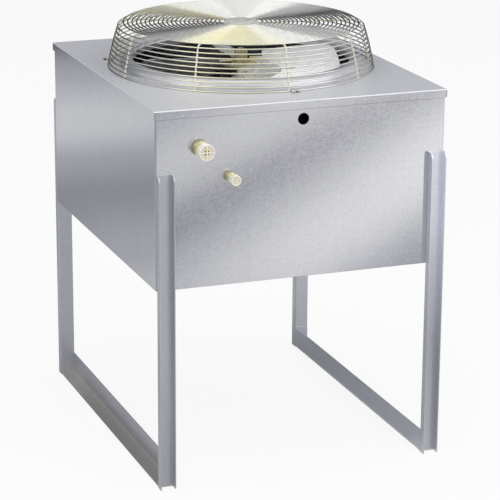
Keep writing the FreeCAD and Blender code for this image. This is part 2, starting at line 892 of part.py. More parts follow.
def fan_hub():
    """Barrel on the shaft with a flange under the spider and a set-screw hole."""
    low = spider_bottom() - hub_flange_sheet
    barrel = rod(hub_radius, V(0, 0, -hub_below), Z, hub_below + hub_above)
    rims = [e for e in barrel.Edges if e.BoundBox.ZLength < 0.1]
    barrel = barrel.makeChamfer(hub_chamfer, rims)
    flange = rod(hub_flange_radius, V(0, 0, low), Z, hub_flange_sheet)
    hub = barrel.fuse(flange)
    bore = rod(shaft_radius, V(0, 0, -60), Z, 120)
    holes = [rod(blade_rivet_shank, p - Z * 20, Z, 40) for p in hub_rivet_places()]
    side = rod(set_screw_radius, O, V(1, 0, 0), 60)
    side = turned(side, fan_angle + 45)
    side.translate(V(0, 0, hub_above * 0.6))
    hub = hub.cut(group([bore, side] + holes))
    return moved(one(hub), 0, 0, fan_z)


def fan_rivets():
    n = blade_normal()
    rivets = []
    grip = blade_sheet + arm_sheet + 2 * rivet_seat_gap
    for k in range(blade_count):
        for x in blade_rivet_places:
            top = V(x, 0, 0) + n * rivet_seat_gap
            shank = rod(blade_rivet_shank - 0.02, top, n * -1, grip)
            head = button(blade_rivet_head, blade_rivet_head_height, top, n)
            tail = button(blade_rivet_head, blade_rivet_head_height, top - n * grip, n * -1)
            rivet = one(shank.fuse([head, tail]))
            rivets.append(moved(turned(rivet, fan_angle + k * 360.0 / blade_count), 0, 0, fan_z))
    low = spider_bottom() - hub_flange_sheet
    for p in hub_rivet_places():
        top = V(p.x, p.y, 0)
        shank = rod(blade_rivet_shank, top, Z * -1, -low)
        head = button(blade_rivet_head, blade_rivet_head_height, top, Z)
        tail = button(blade_rivet_head, blade_rivet_head_height, V(p.x, p.y, low), Z * -1)
        rivets.append(moved(one(shank.fuse([head, tail])), 0, 0, fan_z))
    return group(rivets)


def hub_set_screw():
    body = rod(set_screw_radius, V(shaft_radius, 0, 0), V(1, 0, 0),
               hub_radius + set_screw_stand - shaft_radius)
    socket = hexagon(set_screw_radius, V(hub_radius + set_screw_stand, 0, 0), V(-1, 0, 0), 3)
    body = turned(body.cut(socket), fan_angle + 45)
    return moved(body, 0, 0, fan_z + hub_above * 0.6)


# Motor

def shaft_top():
    return fan_z + hub_above + shaft_top_above_hub


def shaft_bottom():
    return motor_base + bell_wall + 3.0


def motor_shaft():
    shaft = rod(shaft_radius, V(0, 0, shaft_bottom()), Z, shaft_top() - shaft_bottom())
    rims = [e for e in shaft.Edges if e.BoundBox.ZLength < 0.1]
    return shaft.makeChamfer(0.8, rims)


def bell(upright):
    """Cast end bell with a ring of vents and a boss round its bearing, drawn at the bottom end."""
    outer = motor_radius
    bearing_r = shaft_radius + bearing_running_gap + bearing_wall
    cup = rod(outer, V(0, 0, 0), Z, bell_height)
    low = [e for e in cup.Edges if e.BoundBox.ZMax < 0.1]
    cup = cup.makeChamfer(5.0, low)
    hollow = rod(outer - bell_wall, V(0, 0, bell_wall), Z, bell_height)
    boss = rod(bearing_r + bearing_boss_wall, V(0, 0, 0), Z, bearing_length + bell_wall)
    spigot = ring(outer - motor_sheet, outer - motor_sheet - bell_wall, V(0, 0, bell_height - 1),
                  Z, bell_lip + 1)
    bearing_hole = rod(bearing_r, V(0, 0, bell_wall), Z, bearing_length + 1)
    part = cup.cut(hollow).fuse([boss, spigot]).cut(bearing_hole)
    vents = [turned(rod(vent_radius, V(vent_circle, 0, -1), Z, bell_wall + 2),
                    22.5 + k * 360.0 / vent_count) for k in range(vent_count)]
    studs = [turned(rod(motor_stud_radius, V(motor_stud_circle, 0, -1), Z, bell_height + 2),
                    k * 90.0) for k in range(4)]
    part = part.cut(group(vents + studs))
    if upright:
        part = part.cut(rod(shaft_radius + 1.0, V(0, 0, -1), Z, bell_wall + 3))
        part = turned(part, 180, O, V(1, 0, 0))
        return moved(one(part), 0, 0, motor_top)
    return moved(one(part), 0, 0, motor_base)


def motor_shell():
    return ring(motor_radius, motor_radius - motor_sheet, V(0, 0, motor_base + bell_height), Z,
                motor_height - 2 * bell_height)


def stator_base():
    return motor_base + (motor_height - stator_height) / 2


def motor_stator():
    """Round core with a wound crown above and below it."""
    core = rod(motor_radius - motor_sheet, V(0, 0, stator_base()), Z, stator_height)
    z0 = stator_base() - 8
    crowns = ring(motor_radius - 12, stator_bore + 4, V(0, 0, z0), Z, stator_height + 16)
    body = core.fuse(crowns).cut(rod(stator_bore, V(0, 0, z0 - 1), Z, stator_height + 20))
    studs = [turned(rod(motor_stud_radius, V(motor_stud_circle, 0, z0 - 1), Z,
                        stator_height + 20), k * 90.0) for k in range(4)]
    return one(body.cut(group(studs)))


def motor_rotor():
    z0 = stator_base() - rotor_extra / 2
    body = ring(stator_bore - air_gap, shaft_radius, V(0, 0, z0), Z, stator_height + rotor_extra)
    return body


def bearing(upper):
    inner = shaft_radius + bearing_running_gap
    z0 = motor_top - bell_wall - bearing_length if upper else motor_base + bell_wall
    return ring(inner + bearing_wall, inner, V(0, 0, z0), Z, bearing_length)


def stud_places():
    return [V(motor_stud_circle * cos(k * pi / 2), motor_stud_circle * sin(k * pi / 2), 0)
            for k in range(4)]


def motor_studs():
    """Four long bolts through the motor, with a nut at the top bell and one under the plate."""
    bolts = []
    low = motor_base - plate_sheet - motor_stud_tail
    high = motor_top + motor_nut_height + 3
    for p in stud_places():
        bolt = rod(motor_stud_radius, V(p.x, p.y, low), Z, high - low)
        under = hexagon(motor_nut_flats, V(p.x, p.y, motor_base - plate_sheet), V(0, 0, -1),
                        motor_nut_height)
        over = hexagon(motor_nut_flats, V(p.x, p.y, motor_top), Z, motor_nut_height)
        bolts.append(one(bolt.fuse([under, over])))
    return group(bolts)


# Motor support

def plate_screw_seats():
    z = motor_base
    return [(V(sx * plate_screw_spacing / 2, sy * crossbar_offset, z), V(0, 0, -1))
            for sx in (-1, 1) for sy in (-1, 1)]


def motor_plate():
    """Flat plate under the motor with a vent window in its middle."""
    z0 = motor_base - plate_sheet
    plate = box(-plate_width / 2, -plate_depth / 2, z0, plate_width / 2, plate_depth / 2,
                motor_base)
    corners = [e for e in plate.Edges if e.BoundBox.ZLength > plate_sheet - 0.1
               and e.BoundBox.XLength < 0.1 and e.BoundBox.YLength < 0.1]
    plate = plate.makeFillet(plate_corner, corners)
    window = rod(plate_window, V(0, 0, z0 - 1), Z, plate_sheet + 2)
    studs = [rod(motor_stud_radius, V(p.x, p.y, z0 - 1), Z, plate_sheet + 2)
             for p in stud_places()]
    plate = plate.cut(group([window] + studs))
    return drill(plate, plate_screw_seats(), plate_screw_radius, 6)


def crossbar(sign):
    """Channel from side to side, open below, with an upright tab on each side panel."""
    top = motor_base - plate_sheet
    half = crossbar_width / 2
    path = [V(-half, -crossbar_height, 0), V(-half, 0, 0), V(half, 0, 0),
            V(half, -crossbar_height, 0)]
    face = bent_sheet(path[::-1], crossbar_sheet, crossbar_bend)
    face = stand(face)
    reach = face_x - panel_sheet
    bar = face.extrude(V(2 * reach, 0, 0))
    bar.translate(V(-reach, sign * crossbar_offset, top))
    tabs = []
    for s in (-1, 1):
        x = s * (reach - crossbar_sheet / 2)
        y = sign * crossbar_offset
        tab = box(x - crossbar_sheet / 2, y - half, top - crossbar_height,
                  x + crossbar_sheet / 2, y + half, top + crossbar_tab)
        tabs.append(tab)
    bar = one(bar.fuse(tabs))
    bar = drill(bar, plate_screw_seats(), plate_screw_radius, 8)
    clear = [rod(motor_stud_radius + 5, V(p.x, p.y, top - 60), Z, 70) for p in stud_places()]
    return bar.cut(group(clear))


def plate_screws():
    return group([hex_screw(p, d, plate_screw_radius, plate_screw_length, plate_screw_head,
                            plate_screw_head_height) for p, d in plate_screw_seats()])


# Coil, with its tubes running from front to rear

def tube_x(row, index):
    shift = -tube_pitch / 4 if row == 0 else tube_pitch / 4
    return (index - (tubes_per_row - 1) / 2) * tube_pitch + shift


def tube_z(row):
    return lower_row if row == 0 else upper_row


def tube_ends():
    return [(tube_x(r, i), tube_z(r)) for r in (0, 1) for i in range(tubes_per_row)]


def coil_holes(y0, y1, radius):
    return group([rod(radius, V(x, y0, z), V(0, 1, 0), y1 - y0) for x, z in tube_ends()])


def coil_fins():
    """Fin pack as one block, grooved above and below in the direction of its fins."""
    pack = box(-coil_half_width, coil_front, coil_bottom, coil_half_width, coil_rear, coil_top)
    length = coil_rear - coil_front
    step = length / fin_grooves
    cuts = []
    for k in range(fin_grooves):
        y = coil_front + (k + 0.5) * step - fin_groove_width / 2
        for z in (coil_bottom - 1, coil_top - fin_groove_depth):
            cuts.append(box(-coil_half_width - 1, y, z, coil_half_width + 1,
                            y + fin_groove_width, z + fin_groove_depth + 1))
    pack = pack.cut(group(cuts))
    return one(pack.cut(coil_holes(coil_front - 1, coil_rear + 1, tube_radius + tube_hole_gap)))


def return_bend(a, b, y, outward):
    """Half-circle bend between two tube ends, kept to eight faces round its section."""
    centre = V((a[0] + b[0]) / 2, y, (a[1] + b[1]) / 2)
    across = (V(b[0], y, b[1]) - V(a[0], y, a[1])).normalize()
    radius = tube_pitch / 2
    start = centre - across * radius
    axis = across.cross(V(0, outward, 0))
    points = [start + across * (tube_radius * cos(k * pi / 4)) + axis * (tube_radius
              * sin(k * pi / 4)) for k in range(9)]
    return Part.Face(Part.makePolygon(points)).revolve(centre, axis * -1, 180)


def coil_tubes():
    """All tubes and return bends of the single circuit, brazed into one serpentine."""
    y0 = coil_front - coil_plate_sheet - tube_stub
    y1 = coil_rear + coil_plate_sheet + tube_stub
    pieces = [rod(tube_radius, V(x, y0, z), V(0, 1, 0), y1 - y0) for x, z in tube_ends()]
    bends = []
    for row in (0, 1):
        z = tube_z(row)
        for i in range(0, tubes_per_row - 1, 2):
            bends.append(return_bend((tube_x(row, i), z), (tube_x(row, i + 1), z), y1, 1))
        for i in range(1, tubes_per_row - 1, 2):
            bends.append(return_bend((tube_x(row, i), z), (tube_x(row, i + 1), z), y0, -1))
    last = tubes_per_row - 1
    bends.append(return_bend((tube_x(0, last), tube_z(0)), (tube_x(1, last), tube_z(1)), y0, -1))
    return one(pieces[0].fuse(pieces[1:] + bends))


def coil_plate(sign):
    """Upright end plate of the coil with a stiffening flange along its top."""
    y0 = coil_front - coil_plate_sheet if sign < 0 else coil_rear
    y1 = y0 + coil_plate_sheet
    z0 = panel_bottom + panel_sheet
    z1 = coil_top + coil_plate_rise
    plate = box(-coil_plate_half_width, y0, z0, coil_plate_half_width, y1, z1)
    f0, f1 = (y0 - coil_plate_flange, y1) if sign < 0 else (y0, y1 + coil_plate_flange)
    top = box(-coil_half_width, f0, z1 - coil_plate_sheet, coil_half_width, f1, z1)
    plate = one(plate.fuse(top))
    return plate.cut(coil_holes(y0 - 1, y1 + 1, tube_radius + tube_hole_gap))


def coil_baffle(sign):
    """Angle beside the fin pack that closes the gap to the side panel."""
    z0 = panel_bottom + panel_sheet
    z1 = coil_top + coil_plate_rise - coil_plate_sheet
    x0 = coil_half_width
    path = [V(coil_plate_half_width, z0, 0), V(x0, z0, 0), V(x0, z1, 0)]
    face = bent_sheet(path[::-1], coil_plate_sheet, 2.5)
    face.rotate(O, V(1, 0, 0), 90)
    baffle = face.extrude(V(0, coil_rear - coil_front, 0))
    baffle.translate(V(0, coil_front, 0))
    if sign < 0:
        baffle = mirrored(baffle, V(1, 0, 0))
    return baffle


def hot_gas_line():
    """Pipe from the large coupling down to the upper row's first tube."""
    x0 = tube_x(1, 0)
    y0 = coil_front - coil_plate_sheet - tube_stub
    y1 = large_line_y
    low, high = [large_z - drop for drop in large_jog_drops]
    points = [V(x0, y0, upper_row), V(x0, y1, upper_row), V(x0, y1, low), V(large_x, y1, high),
              V(large_x, y1, large_z), V(large_x, y1 - large_line_bend - 1, large_z)]
    return pipe(points, large_line, large_line_bend - 1)


def liquid_line():
    """Pipe from the lower row's first tube up to the small coupling."""
    x0 = tube_x(0, 0)
    y0 = coil_front - coil_plate_sheet - tube_stub
    y1 = small_line_y
    low, high = [small_z - drop for drop in small_jog_drops]
    points = [V(x0, y0, lower_row), V(x0, y1, lower_row), V(x0, y1, low), V(small_x, y1, high),
              V(small_x, y1, small_z), V(small_x, y1 - small_line_bend - 1, small_z)]
    return pipe(points, small_line, small_line_bend)


# Couplings, panel nuts and caps

def coupling(x, z, barrel, stem, hex_flats, line_y, line_bend, cap_reach):
    """Brass fitting: stem through the panel, hexagon, groove and threaded barrel."""
    out = V(0, -1, 0)
    seat = V(x, -face_y, z)
    inner = line_y - line_bend - 1
    reach = cap_reach - cap_recess - cap_floor - cap_end_gap
    shank = rod(stem, V(x, inner, z), out, inner + face_y)
    hexa = hexagon(hex_flats, seat, out, hex_height)
    hexa = hexa.common(Part.makeCone(hex_flats / 2 + 6, hex_flats / 2 - 0.5, 9,
                                     seat - out * 1.0, out))
    neck = rod(barrel - 2.0, seat, out, hex_height + coupling_neck_gap)
    front = seat + out * (hex_height + coupling_neck_gap)
    body = rod(barrel, front, out, reach - hex_height - coupling_neck_gap)
    rims = [e for e in body.Edges if e.BoundBox.YLength < 0.1]
    body = body.makeChamfer(1.2, rims)
    mouth = rod(barrel * 0.55, seat + out * (reach - 6), out, 8)
    return one(shank.fuse([hexa, neck, body]).cut(mouth))


def large_coupling():
    return coupling(large_x, large_z, large_barrel, large_stem, large_hex, large_line_y,
                    large_line_bend, large_cap_reach)


def small_coupling():
    return coupling(small_x, small_z, small_barrel, small_stem, small_hex, small_line_y,
                    small_line_bend, small_cap_reach)


def panel_nut(x, z, stem, hex_flats):
    start = V(x, -face_y + panel_sheet, z)
    nut = hexagon(hex_flats, start, V(0, 1, 0), panel_nut_height)
    return nut.cut(rod(stem, start - V(0, 1, 0), V(0, 1, 0), panel_nut_height + 2))


def cap(x, z, radius, barrel, reach, length):
    """Plastic cup with grip ribs round its skirt and a raised rim round a sunken face."""
    out = V(0, -1, 0)
    face = V(x, -(face_y + reach), z)
    cup = rod(radius, face, out * -1, length)
    rims = [e for e in cup.Edges if e.BoundBox.YLength < 0.1 and e.BoundBox.YMax < face.y + 1]
    cup = cup.makeChamfer(1.0, rims)
    ribs = []
    for k in range(grip_rib_count):
        rib = box(x + radius - 0.5, face.y + 2.5, z - grip_rib_width / 2,
                  x + radius + grip_rib_rise, face.y + length - 1.5, z + grip_rib_width / 2)
        ribs.append(turned(rib, k * 360.0 / grip_rib_count, face, out))
    cup = cup.fuse(ribs)
    hollow = rod(barrel + cap_slide_gap, face - out * (cap_recess + cap_floor), out * -1,
                 length)
    recess = rod(radius - cap_rim, face + out * 1, out * -1, 1 + cap_recess)
    return cup.cut(group([hollow, recess])), face


def large_cap():
    """Large cap, whose face has a cross of four spokes between four small holes."""
    cup, face = cap(large_x, large_z, large_cap_radius, large_barrel, large_cap_reach,
                    large_cap_length)
    reach = large_cap_radius - cap_rim + 0.5
    w = cross_width / 2
    y0 = face.y + 0.3
    y1 = face.y + cap_recess + 0.5
    spokes = [box(face.x - reach, y0, face.z - w, face.x + reach, y1, face.z + w),
              box(face.x - w, y0, face.z - reach, face.x + w, y1, face.z + reach)]
    cup = cup.fuse(spokes)
    holes = []
    for a in (45, 135, 225, 315):
        at = face + V(cos(radians(a)) * cross_hole_offset, -1, sin(radians(a)) * cross_hole_offset)
        holes.append(rod(cross_hole, at, V(0, 1, 0), cap_recess + cap_floor + 2))
    return one(cup.cut(group(holes)))


def small_cap():
    """Small cap with a raised ring and a dimple in the middle of its face."""
    cup, face = cap(small_x, small_z, small_cap_radius, small_barrel, small_cap_reach,
                    small_cap_length)
    boss = rod(small_dimple * 2, face + V(0, 0.6, 0), V(0, 1, 0), cap_recess)
    dimple = rod(small_dimple, face + V(0, 0.4, 0), V(0, 1, 0), cap_recess - 0.6)
    return one(cup.fuse(boss).cut(dimple))


# Electrical box behind the front panel

def box_screw_seats():
    x = box_width / 2 - 8
    return [(V(s * x, -face_y + panel_sheet + box_sheet, entry_z + t * (box_height / 2 - 8)),
             V(0, -1, 0)) for s, t in ((-1, -1), (1, 1))]


def junction_box():
    """Open-backed box on the inside of the panel, with the entry hole and a lead hole."""
    y0 = -face_y + panel_sheet
    y1 = y0 + box_depth
    z0 = entry_z - box_height / 2
    z1 = entry_z + box_height / 2
    t = box_sheet
    outer = box(-box_width / 2, y0, z0, box_width / 2, y1, z1)
    inner = box(-box_width / 2 + t, y0 + t, z0 + t, box_width / 2 - t, y1 + 1, z1 - t)
    entry = rod(entry_radius, V(0, y0 - 1, entry_z), V(0, 1, 0), t + 2)
    lead = rod(lead_radius, V(lead_x, y0 + box_depth / 2, z0 - 1), Z, t + 2)
    shape = outer.cut(group([inner, entry, lead]))
    return drill(shape, box_screw_seats(), box_screw_radius, 6, 3)


def junction_box_cover():
    y1 = -face_y + panel_sheet + box_depth
    x = box_width / 2 + box_cover_overlap
    z0 = entry_z - box_height / 2 - box_cover_overlap
    z1 = entry_z + box_height / 2 + box_cover_overlap
    plate = box(-x, y1, z0, x, y1 + box_sheet, z1)
    corners = [e for e in plate.Edges if e.BoundBox.YLength > box_sheet - 0.1
               and e.BoundBox.XLength < 0.1 and e.BoundBox.ZLength < 0.1]
    return plate.makeFillet(5.0, corners)


def junction_box_screws():
    length = box_sheet + panel_sheet - 0.2
    return group([screw(p, d, box_screw_radius, length, box_screw_head, box_screw_head_height)
                  for p, d in box_screw_seats()])


def motor_lead():
    """Lead from the electrical box down the front and across to the motor."""
    y0 = -face_y + panel_sheet + box_depth / 2
    z0 = entry_z - box_height / 2 + box_sheet + 6
    end = sqrt(motor_radius ** 2 - lead_x ** 2)
    points = [V(lead_x, y0, z0), V(lead_x, y0, lead_level), V(lead_x, -end + 0.2, lead_level)]
    lead = pipe(points, lead_radius, lead_bend)
    return lead.cut(rod(motor_radius, V(0, 0, lead_level - 20), Z, 40))


def leg_rivets():
    grip = leg_sheet + 2 * panel_sheet
    return group([flush_rivet(p, d, grip) for p, d in leg_rivet_seats()])


def rail_rivets():
    grip = leg_sheet + rail_sheet
    return group([flush_rivet(p, d, grip) for p, d in rail_rivet_seats()])


def cover_screws():
    return group([screw(p, d, cover_screw_radius, cover_screw_length, cover_screw_head,
                        cover_screw_head_height) for p, d in cover_screw_seats()])


nodes = {
    "top_cover": top_cover(),
    "front_panel": front_panel(),
    "rear_panel": end_panel(1),
    "left_panel": side_panel(-1),
    "right_panel": side_panel(1),
    "front_left_leg": leg(-1, -1),
    "front_right_leg": leg(1, -1),
    "rear_left_leg": leg(-1, 1),
    "rear_right_leg": leg(1, 1),
    "left_base_rail": base_rail(-1),
    "right_base_rail": base_rail(1),
    "leg_rivets": leg_rivets(),
    "rail_rivets": rail_rivets(),
    "cover_screws": cover_screws(),
    "guard_side_rings": guard_side_rings(),
    "guard_top_rings": guard_top_rings(),
    "guard_ribs": guard_ribs(),
    "guard_centre_disc": guard_centre_disc(),
    "guard_clips": guard_clips(),
    "guard_clip_screws": guard_clip_screws(),
    "fan_hub": fan_hub(),
    "fan_spider": fan_spider(),
    "fan_rivets": fan_rivets(),
    "hub_set_screw": hub_set_screw(),
    "motor_shaft": motor_shaft(),
    "motor_rotor": motor_rotor(),
    "motor_stator": motor_stator(),
    "motor_shell": motor_shell(),
    "motor_top_bell": bell(True),
    "motor_bottom_bell": bell(False),
    "upper_bearing": bearing(True),
    "lower_bearing": bearing(False),
    "motor_plate": motor_plate(),
    "motor_studs": motor_studs(),
    "front_crossbar": crossbar(-1),
    "rear_crossbar": crossbar(1),
    "plate_screws": plate_screws(),
    "coil_fins": coil_fins(),
    "coil_tubes": coil_tubes(),
    "front_coil_plate": coil_plate(-1),
    "rear_coil_plate": coil_plate(1),
    "left_coil_baffle": coil_baffle(-1),
    "right_coil_baffle": coil_baffle(1),
    "hot_gas_line": hot_gas_line(),
    "liquid_line": liquid_line(),
    "large_coupling": large_coupling(),
    "small_coupling": small_coupling(),
    "large_panel_nut": panel_nut(large_x, large_z, large_stem, large_hex),
    "small_panel_nut": panel_nut(small_x, small_z, small_stem, small_hex),
    "large_cap": large_cap(),
    "small_cap": small_cap(),
    "junction_box": junction_box(),
    "junction_box_cover": junction_box_cover(),
    "junction_box_screws": junction_box_screws(),
    "motor_lead": motor_lead(),
}
for index in range(blade_count):
    nodes["fan_blade_%d" % (index + 1)] = fan_blade(index)

for name, shape in nodes.items():
    moved(shape, 0, centre_y, 0).exportStep("parts/%s.step" % name)
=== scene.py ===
import bpy
import json
import math
from collections import namedtuple
from mathutils import Matrix, Vector, noise


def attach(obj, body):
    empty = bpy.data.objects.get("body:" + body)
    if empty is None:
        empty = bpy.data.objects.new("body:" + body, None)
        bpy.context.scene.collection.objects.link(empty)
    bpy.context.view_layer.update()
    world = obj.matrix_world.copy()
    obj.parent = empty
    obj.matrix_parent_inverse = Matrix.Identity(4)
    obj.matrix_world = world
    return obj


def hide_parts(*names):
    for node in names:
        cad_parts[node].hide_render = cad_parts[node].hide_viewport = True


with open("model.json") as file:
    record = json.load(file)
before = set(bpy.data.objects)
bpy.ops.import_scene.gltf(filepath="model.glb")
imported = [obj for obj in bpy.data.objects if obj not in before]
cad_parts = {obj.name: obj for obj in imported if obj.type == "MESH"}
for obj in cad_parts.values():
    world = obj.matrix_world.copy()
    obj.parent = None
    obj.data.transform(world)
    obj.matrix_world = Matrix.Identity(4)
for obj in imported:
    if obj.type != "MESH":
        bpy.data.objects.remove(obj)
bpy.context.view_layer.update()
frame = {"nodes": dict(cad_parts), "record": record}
nodes = frame["nodes"]

# Remote condenser: looks, guard wires, fins, bends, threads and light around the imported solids.
# Lengths are in metres and heights are from the floor, unless a comment says otherwise.

# Cabinet: the fan's axis stands at x = 0, y = AXIS_Y
AXIS_Y = 0.0095
COVER_TOP = 0.915
LIP_FOOT = 0.895
PANEL_SEAT = AXIS_Y - 0.4175
# Height of the base rails' fold, which carries a painted highlight, and how far that highlight runs
# to the front and the back
RAIL_FOLD = 0.0055
RAIL_HALF = 0.34

# Wire guard: wires by their radius, heights above the cover's top
RING_WIRE = 0.0016
CROWN_WIRE = 0.0019
RIB_WIRE = 0.0022
WELD_SINK = 0.0003
GUARD_HEIGHT = 0.110
GUARD_BEND = 0.0176
# Three places, radius and height, that the bowed side passes through
SIDE_CURVE = ((0.3289, 0), (0.3184, 0.050), (0.3069, 0.092))
SIDE_RINGS = 10
SIDE_RING_LOW = 0.002
SIDE_RING_RISE = 0.098
TOP_RINGS = 23
TOP_RING_SMALL = 0.054
TOP_RING_REACH = 0.236
# Rings under this radius are drawn in fewer steps
SMALL_RING = 0.15
RIBS = 9
RIB_END = 0.034
RIB_SIDES = 12
# From this far below the crown's height on, a rib's weld knots follow the crown rings
CROWN_ZONE = 0.02
# A weld knot's swelling as a share of the rib's radius, and its half length
KNOT_SWELL = 0.35
KNOT_LENGTH = 0.0017

# Coil: a block of fins with two rows of tubes through it
COIL_FRONT = AXIS_Y - 0.345
COIL_BACK = AXIS_Y + 0.365
COIL_HALF_WIDTH = 0.325
COIL_FOOT = 0.500
COIL_HEIGHT = 0.066
FIN_PITCH = 0.0030
FIN_THICKNESS = 0.00022
FIN_EDGE = 0.004
# The fins' edges wave this much, and the wave's pace along a fin and from fin to fin
FIN_WAVE = 0.0005
FIN_WAVE_PACE = (9, 140)
TUBES_IN_ROW = 16
TUBE_PITCH = 0.0381
TUBE_RADIUS = 0.00635
TUBE_SIDES = 20
# The tubes pass an end plate and stand out of it, with a cuff at the foot of each bend
END_PLATE = 0.0015
TUBE_OUT = 0.008
CUFF_RADIUS = 0.00705
CUFF_PLACES = (-0.007, -0.0065, 0.0, 0.0005)

# Couplings: centre, thread radius, radius of the stem behind, width over flats, reach before and
# behind the panel, pitch, and the sunken face and the rim of the cap
Fitting = namedtuple("Fitting", "x z barrel stem flats reach inner pitch cap_well cap_rim")
LARGE = Fitting(x=-0.251, z=0.819, barrel=0.0150, stem=0.0105, flats=0.034, reach=0.035,
                inner=0.0645, pitch=0.0018, cap_well=0.0150, cap_rim=-0.449)
SMALL = Fitting(x=-0.178, z=0.746, barrel=0.0092, stem=0.0068, flats=0.022, reach=0.030,
                inner=0.0415, pitch=0.0014, cap_well=0.0082, cap_rim=-0.444)
HEXAGON_FRONT = 0.007
NECK_FRONT = 0.0105
NECK_CUT = 0.002
THREAD_CUT = 0.0011
THREAD_FADE = 0.0012
THREAD_STEP = 0.00028
# Half of the thread's groove as a share of the pitch
GROOVE_HALF = 0.42
# Chamfers at the neck and at the barrel's end
NECK_CHAMFER = 0.0008
END_CHAMFER = 0.0012
# Depths behind the hexagon's front where its corners start to round and where they steepen
CORNER_START = 0.0014
CORNER_STEEP = 0.0006
BORE_DEPTH = 0.006
BORE_SHARE = 0.55
BARREL_SIDES = 72
STEM_SIDES = 48


# Mesh helpers

def new_piece(name, verts, faces, body="cabinet", smooth_angle=40):
    mesh = bpy.data.meshes.new(name)
    mesh.from_pydata([tuple(v) for v in verts], [], faces)
    mesh.update()
    mesh.shade_smooth()
    if smooth_angle:
        mesh.set_sharp_from_angle(angle=math.radians(smooth_angle))
    piece = bpy.data.objects.new(name, mesh)
    bpy.context.scene.collection.objects.link(piece)
    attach(piece, body)
    return piece


def grid_faces(rows, columns, start=0, close_rows=False, close_columns=False):
    """Faces between rows of points, where a closed grid joins its last row to its first."""
    faces = []
    for i in range(rows if close_rows else rows - 1):
        for j in range(columns if close_columns else columns - 1):
            a = start + i * columns + j
            b = start + i * columns + (j + 1) % columns
            c = start + ((i + 1) % rows) * columns + (j + 1) % columns
            d = start + ((i + 1) % rows) * columns + j
            faces.append((a, b, c, d))
    return faces


def add_tube(verts, faces, path, radius, sides):
    """Round wire or pipe along a list of points, of one radius or one for each point."""
    count = len(path)
    radii = radius if isinstance(radius, list) else [radius] * count
    start = len(verts)
    normal = None
    for i, point in enumerate(path):
        ahead = path[min(i + 1, count - 1)] - path[max(i - 1, 0)]
        ahead.normalize()
        if normal is None:
            normal = ahead.orthogonal().normalized()
        else:
            normal = (normal - ahead * normal.dot(ahead)).normalized()
        side = ahead.cross(normal)
        for k in range(sides):
            a = 2 * math.pi * k / sides
            verts.append(point + (normal * math.cos(a) + side * math.sin(a)) * radii[i])
    faces += grid_faces(count, sides, start, close_columns=True)
    faces.append(tuple(range(start + sides - 1, start - 1, -1)))
    faces.append(tuple(range(start + (count - 1) * sides, start + count * sides)))


def add_ring(verts, faces, radius, height, wire, sides=10):
    """Level ring of round wire about the fan's axis."""
    segments = 96 if radius < SMALL_RING else 168
    start = len(verts)
    for i in range(segments):
        a = 2 * math.pi * i / segments
        for k in range(sides):
            b = 2 * math.pi * k / sides
            r = radius + wire * math.cos(b)
            verts.append(Vector((r * math.cos(a), AXIS_Y + r * math.sin(a),
                                 height + wire * math.sin(b))))
    faces += grid_faces(segments, sides, start, close_rows=True, close_columns=True)


# Shape of the wire guard, the same curve as in the solids

def circle_through(a, b, c):
    """Centre and radius of the circle through three points."""
    d = 2 * (a[0] * (b[1] - c[1]) + b[0] * (c[1] - a[1]) + c[0] * (a[1] - b[1]))
    sa, sb, sc = [p[0] ** 2 + p[1] ** 2 for p in (a, b, c)]
    x = (sa * (b[1] - c[1]) + sb * (c[1] - a[1]) + sc * (a[1] - b[1])) / d
    y = (sa * (c[0] - b[0]) + sb * (a[0] - c[0]) + sc * (b[0] - a[0])) / d
    return x, y, math.hypot(a[0] - x, a[1] - y)


SIDE_X, SIDE_Z, SIDE_R = circle_through(*SIDE_CURVE)
CROWN = GUARD_HEIGHT - RING_WIRE
BEND_R = GUARD_BEND - RING_WIRE
BEND_Z = CROWN - BEND_R
BEND_X = SIDE_X + math.sqrt((SIDE_R - BEND_R) ** 2 - (BEND_Z - SIDE_Z) ** 2)
MEET_Z = SIDE_Z + (BEND_Z - SIDE_Z) * SIDE_R / math.hypot(BEND_X - SIDE_X, BEND_Z - SIDE_Z)


def ring_radius(height):
    if height <= MEET_Z:
        return SIDE_X + math.sqrt(SIDE_R ** 2 - (height - SIDE_Z) ** 2)
    return BEND_X + math.sqrt(BEND_R ** 2 - (height - BEND_Z) ** 2)


def ring_height(radius):
    if radius <= BEND_X:
        return CROWN
    return BEND_Z + math.sqrt(BEND_R ** 2 - (radius - BEND_X) ** 2)


def side_ring_heights():
    return [SIDE_RING_LOW + k * SIDE_RING_RISE / (SIDE_RINGS - 1) for k in range(SIDE_RINGS)]


def top_ring_radii():
    return [TOP_RING_SMALL + k * TOP_RING_REACH / (TOP_RINGS - 1) for k in range(TOP_RINGS)]


def rib_profile(side_steps=100, bend_steps=9, crown_steps=160):
    """Radius and height along a rib's centre line, from its foot to its inner end."""
    inset = RING_WIRE + RIB_WIRE - WELD_SINK
    points = []
    side = SIDE_R - inset
    foot = math.atan2(0.0 - SIDE_Z, math.sqrt(side ** 2 - SIDE_Z ** 2))
    meet = math.atan2(BEND_Z - SIDE_Z, BEND_X - SIDE_X)
    for i in range(side_steps + 1):
        a = foot + (meet - foot) * i / side_steps
        points.append((SIDE_X + side * math.cos(a), SIDE_Z + side * math.sin(a)))
    bend = BEND_R - inset
    for i in range(1, bend_steps + 1):
        a = meet + (math.pi / 2 - meet) * i / bend_steps
        points.append((BEND_X + bend * math.cos(a), BEND_Z + bend * math.sin(a)))
    for i in range(1, crown_steps + 1):
        points.append((BEND_X + (RIB_END - BEND_X) * i / crown_steps, CROWN - inset))
    return points


def rib_thickness(r, z):
    """A rib swells into a small weld knot where it crosses a ring."""
    if z < CROWN - CROWN_ZONE:
        off = min(abs(z - height) for height in side_ring_heights())
    else:
        off = min(abs(r - radius) for radius in top_ring_radii())
    return RIB_WIRE * (1.0 + KNOT_SWELL * math.exp(-(off / KNOT_LENGTH) ** 2))


def rib_angles():
    return [math.radians(-90 + 360 / RIBS * k) for k in range(RIBS)]


